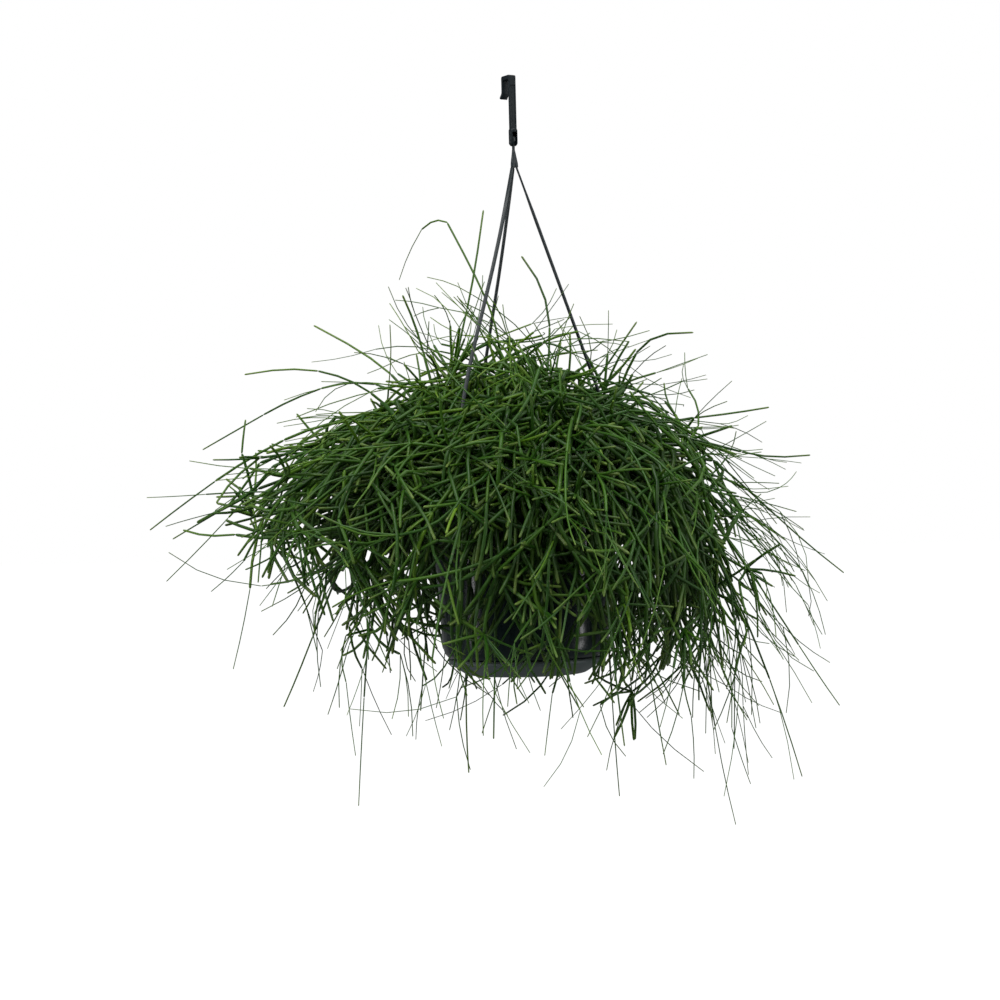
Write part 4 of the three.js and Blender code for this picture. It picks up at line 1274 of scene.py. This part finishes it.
def growPlant():
    main = mainStems()
    main["radius"] *= np.array(thinning["main"])[np.minimum(main["order"], 6)]
    rng = np.random.default_rng(shoots["seed"])
    added = mainShoots(rng)
    print("plant:", len(added["points"]), "stems in added shoots")
    added["parent"] += np.where(added["parent"] < 0, 0, len(main["points"]))
    stems = together([{key: main[key] for key in added}, added])
    reach, away = massReach(stems["points"][:, 2])
    stems["radius"] *= np.interp(away / reach, *thinning["outwards"])
    for order, fork in enumerate(forks, 5):
        if order == whorls["order"]:
            stems = together([stems, whorlStems(stems, rng)])
        stems = together([stems, forkStems(stems, rng, fork, order)])
        print("plant:", len(stems["points"]), "stems after forks", order - 4)
    stems["tip"] = ~np.isin(np.arange(len(stems["points"])), stems["parent"])
    return stems, rng


# Rings of a stem: the outer ones lie so many radii from its ends, the middle ones at shares of it
segment = {
    "start": (0.2, 1.6), "middle": (0.36, 0.66), "end": (1.5, 0.4), "sides": 6,
    "sizes": (0.6, 0.93, 1.0, 0.98, 0.93, 0.58), "tip": (1, 1, 0.98, 0.94, 0.9, 0.98),
}


# Rings along each stem. Its line is the parabola through its three points, and its radius is full along
# the middle, pinched at the joints and blunt at a tip.
def stemRings(stems):
    s = segment
    points, radius = stems["points"], stems["radius"]
    start, end = points[:, 0], points[:, 2]
    pull = 2 * points[:, 1] - (start + end) / 2
    length = np.linalg.norm(points[:, 1] - start, axis=1) + np.linalg.norm(end - points[:, 1], axis=1)
    cap = (radius / length)[:, None]
    tip = stems["tip"]
    places = np.concatenate([s["start"] * cap, s["middle"] + 0 * cap, 1 - s["end"] * cap], 1)
    tapered = np.where(tip[:, None], s["tip"], 1.0)
    t = places[..., None]
    line = start[:, None] * (1 - t) ** 2 + pull[:, None] * 2 * t * (1 - t) + end[:, None] * t**2
    along = unit((pull - start)[:, None] * (1 - t) + (end - pull)[:, None] * t)
    across = np.cross(unit(end - start), (0.0, 0.0, 1.0))
    across[np.linalg.norm(across, axis=1) < 0.05] = (1, 0, 0)
    across = unit(across)[:, None]
    across = unit(across - along * (across * along).sum(-1, keepdims=True))
    other = np.cross(along, across)
    turn = evenAngles(s["sides"])
    size = (radius[:, None] * s["sizes"] * tapered)[..., None, None]
    ring = across[:, :, None] * np.cos(turn)[:, None] + other[:, :, None] * np.sin(turn)[:, None]
    rings = line[:, :, None] + ring * size
    poles = np.stack([start, end], 1)
    return rings, poles, places, tip


# Marks of the skin. Tones are drawn round a mean, and paler on the side that faces the lamps above and to the
# left: painted light. Age is by the orders from the root, and less inside the mass, which darkens the stems
# there: painted shade over the darker old wood. Tips are young from a share of the stem on.
skin = {
    "tone": (0.41, 0.21), "paler": 0.3, "litSide": unit(np.array([-0.55, -0.1, 0.83])), "ageAndShade": (9, 0.25),
    "deep": ((0.6, 1.08), (0.06, 1.0)), "tip": (0.72, 0.28), "young": (0.2, 1.0),
}


def stemMaterial():
    material, tree, shader, where = newMaterial("stem skin", 0.3)
    patch, mottle = noise(tree, where, 70.0, 3.0), noise(tree, where, 900.0, 3.0)
    # The tone mark holds a random tone, plus painted light on the side towards the lamps.
    green = ramp(tree, marked(tree, "stemToneAndLight"), [
        (0.0, (0.004, 0.034, 0.002)), (0.35, (0.011, 0.057, 0.002)),
        (0.7, (0.033, 0.100, 0.003)), (1.0, (0.090, 0.180, 0.008))])
    # The age-and-shade mark darkens the stems: older wood by order from the root, and painted shade deep
    # inside the mass.
    oldAndShaded = ramp(tree, marked(tree, "stemAgeAndShade"), [
        (0.0, (0.16, 0.20, 0.20)), (0.2, (0.34, 0.46, 0.40)), (0.5, (0.85, 0.92, 0.85)),
        (1.0, (1.25, 1.18, 1.0))])
    spots = addNode(tree, "ShaderNodeTexVoronoi", {"Vector": where, "Scale": 230.0})
    # Over the green: soft patches, a fine mottle, young tips and the dots of the areoles
    colour = blended(tree, 1.0, green, oldAndShaded, "MULTIPLY")
    for cover, over in (
            (mapped(tree, patch, 0.3, 0.7, 0.0, 0.3), (0.045, 0.108, 0.005)),
            (mapped(tree, mottle, 0.35, 0.7, 0.0, 0.12), (0.07, 0.14, 0.015)),
            (mapped(tree, marked(tree, "stemTip"), 0.0, 1.0, 0.0, 0.6), (0.17, 0.24, 0.045)),
            (mapped(tree, spots.outputs["Distance"], 0.13, 0.07, 0.0, 0.6), (0.20, 0.17, 0.10))):
        colour = blended(tree, cover, colour, over)
    surface(tree, shader, colour, mapped(tree, patch, 0.3, 0.7, 0.36, 0.52), 0.25, 0.0003, mottle)
    return material


def buildPlant():
    s = skin
    stems, rng = growPlant()
    rings, poles, places, tip = stemRings(stems)
    count = len(rings)
    tone = np.repeat(rng.normal(*s["tone"], count)[:, None], places.shape[1], 1)
    middles = rings.mean(axis=2)
    reach, away = massReach(middles)
    # Painted light: stems on the side of the mass that faces the lamps above and to the left get a paler,
    # yellower tone.
    lit = np.clip(unit(middles - massMiddle) @ s["litSide"], 0, 1) ** 2
    tone = np.clip(tone + s["paler"] * lit, 0, 1)
    orders, rootAge = s["ageAndShade"]
    ageAndShade = np.clip((stems["order"][:, None] + places) / orders + rootAge, 0, 1)
    # Painted shade: stems deep inside the mass get a low value here, which darkens them.
    ageAndShade = ageAndShade * np.interp(away / reach, *s["deep"])
    first, length = s["tip"]
    young = np.clip((places - first) / length, 0, 1) * tip[:, None] * rng.uniform(*s["young"], (count, 1))
    low, high = cadBox / mm
    rings, poles = np.clip(rings + axisAt, low, high), np.clip(poles + axisAt, low, high)
    material = stemMaterial()
    for clump in range(crown["count"] + 1):
        own = stems["clump"] == clump
        piece = ringsMesh(
            f"stems_{clump + 1}", rings[own], poles[own],
            {"stemToneAndLight": tone[own], "stemAgeAndShade": ageAndShade[own], "stemTip": young[own]})
        dress(piece, material, "stem", "basket", f"plant_clump_{clump + 1}")
        print(piece.name, len(piece.data.polygons), "faces")


buildPlant()


# Each light has a name, a place, a size in metres and a power in watts
studio = {
    "floorDrop": -1250, "floorReach": 40.0, "floorGlow": 0.85, "background": 1.0, "ambient": 0.2,
    "middle": (0, 0, -0.3),
    "lights": (
        ("key", (-1.0, -1.9, 1.5), (1.4, 1.4), 48), ("top", (0.2, -0.3, 1.9), (1.8, 1.8), 42),
        ("fill", (1.9, -1.5, 0.4), (1.2, 1.6), 16), ("left strip", (-1.5, -0.45, -0.35), (0.2, 1.3), 9),
        ("right strip", (1.5, -0.2, -0.35), (0.16, 1.3), 6)),
}


def buildFloor():
    reach = studio["floorReach"]
    mesh = bpy.data.meshes.new("floor")
    z = studio["floorDrop"] * mm
    corners = [(-reach, -reach, z), (reach, -reach, z), (reach, reach, z), (-reach, reach, z)]
    mesh.from_pydata(corners, [], [(0, 1, 2, 3)])
    floor = bpy.data.objects.new("floor", mesh)
    bpy.context.scene.collection.objects.link(floor)
    material, tree, shader, where = newMaterial("pale floor", 0.1)
    pale = ramp(tree, noise(tree, where, 3.0, 3.0), [(0.3, (0.93, 0.93, 0.93)), (0.7, (0.96, 0.96, 0.96))])
    tree.links.new(pale, shader.inputs["Base Color"])
    shader.inputs["Roughness"].default_value = 0.9
    shader.inputs["Emission Color"].default_value = (1, 1, 1, 1)
    shader.inputs["Emission Strength"].default_value = studio["floorGlow"]
    mesh.materials.append(material)
    # It shows white without lighting the plant from below
    floor.visible_diffuse = floor.visible_glossy = False


def addLight(name, place, size, power):
    lamp = bpy.data.lights.new(name, "AREA")
    lamp.shape = "RECTANGLE"
    lamp.size, lamp.size_y = size
    lamp.energy = power
    holder = bpy.data.objects.new(name, lamp)
    bpy.context.scene.collection.objects.link(holder)
    aim = Vector(np.array(studio["middle"]) - place)
    turn = aim.to_track_quat("-Z", "Y").to_matrix().to_4x4()
    holder.matrix_world = Matrix.Translation(place) @ turn
    holder.visible_camera = False


def buildStudio():
    buildFloor()
    for light in studio["lights"]:
        addLight(*light)
    world = bpy.data.worlds.new("studio")
    bpy.context.scene.world = world
    world.use_nodes = True
    tree = world.node_tree
    room = tree.nodes["Background"]
    room.inputs["Color"].default_value = (0.96, 0.98, 1.0, 1)
    room.inputs["Strength"].default_value = studio["ambient"]
    seen = addNode(tree, "ShaderNodeBackground", {"Color": (1, 1, 1, 1), "Strength": studio["background"]})
    path = addNode(tree, "ShaderNodeLightPath")
    both = addNode(tree, "ShaderNodeMixShader")
    tree.links.new(path.outputs["Is Camera Ray"], both.inputs[0])
    tree.links.new(room.outputs[0], both.inputs[1])
    tree.links.new(seen.outputs[0], both.inputs[2])
    tree.links.new(both.outputs[0], tree.nodes["World Output"].inputs["Surface"])
    bpy.context.scene.view_settings.view_transform = "Standard"


buildStudio()
print("studio ready")
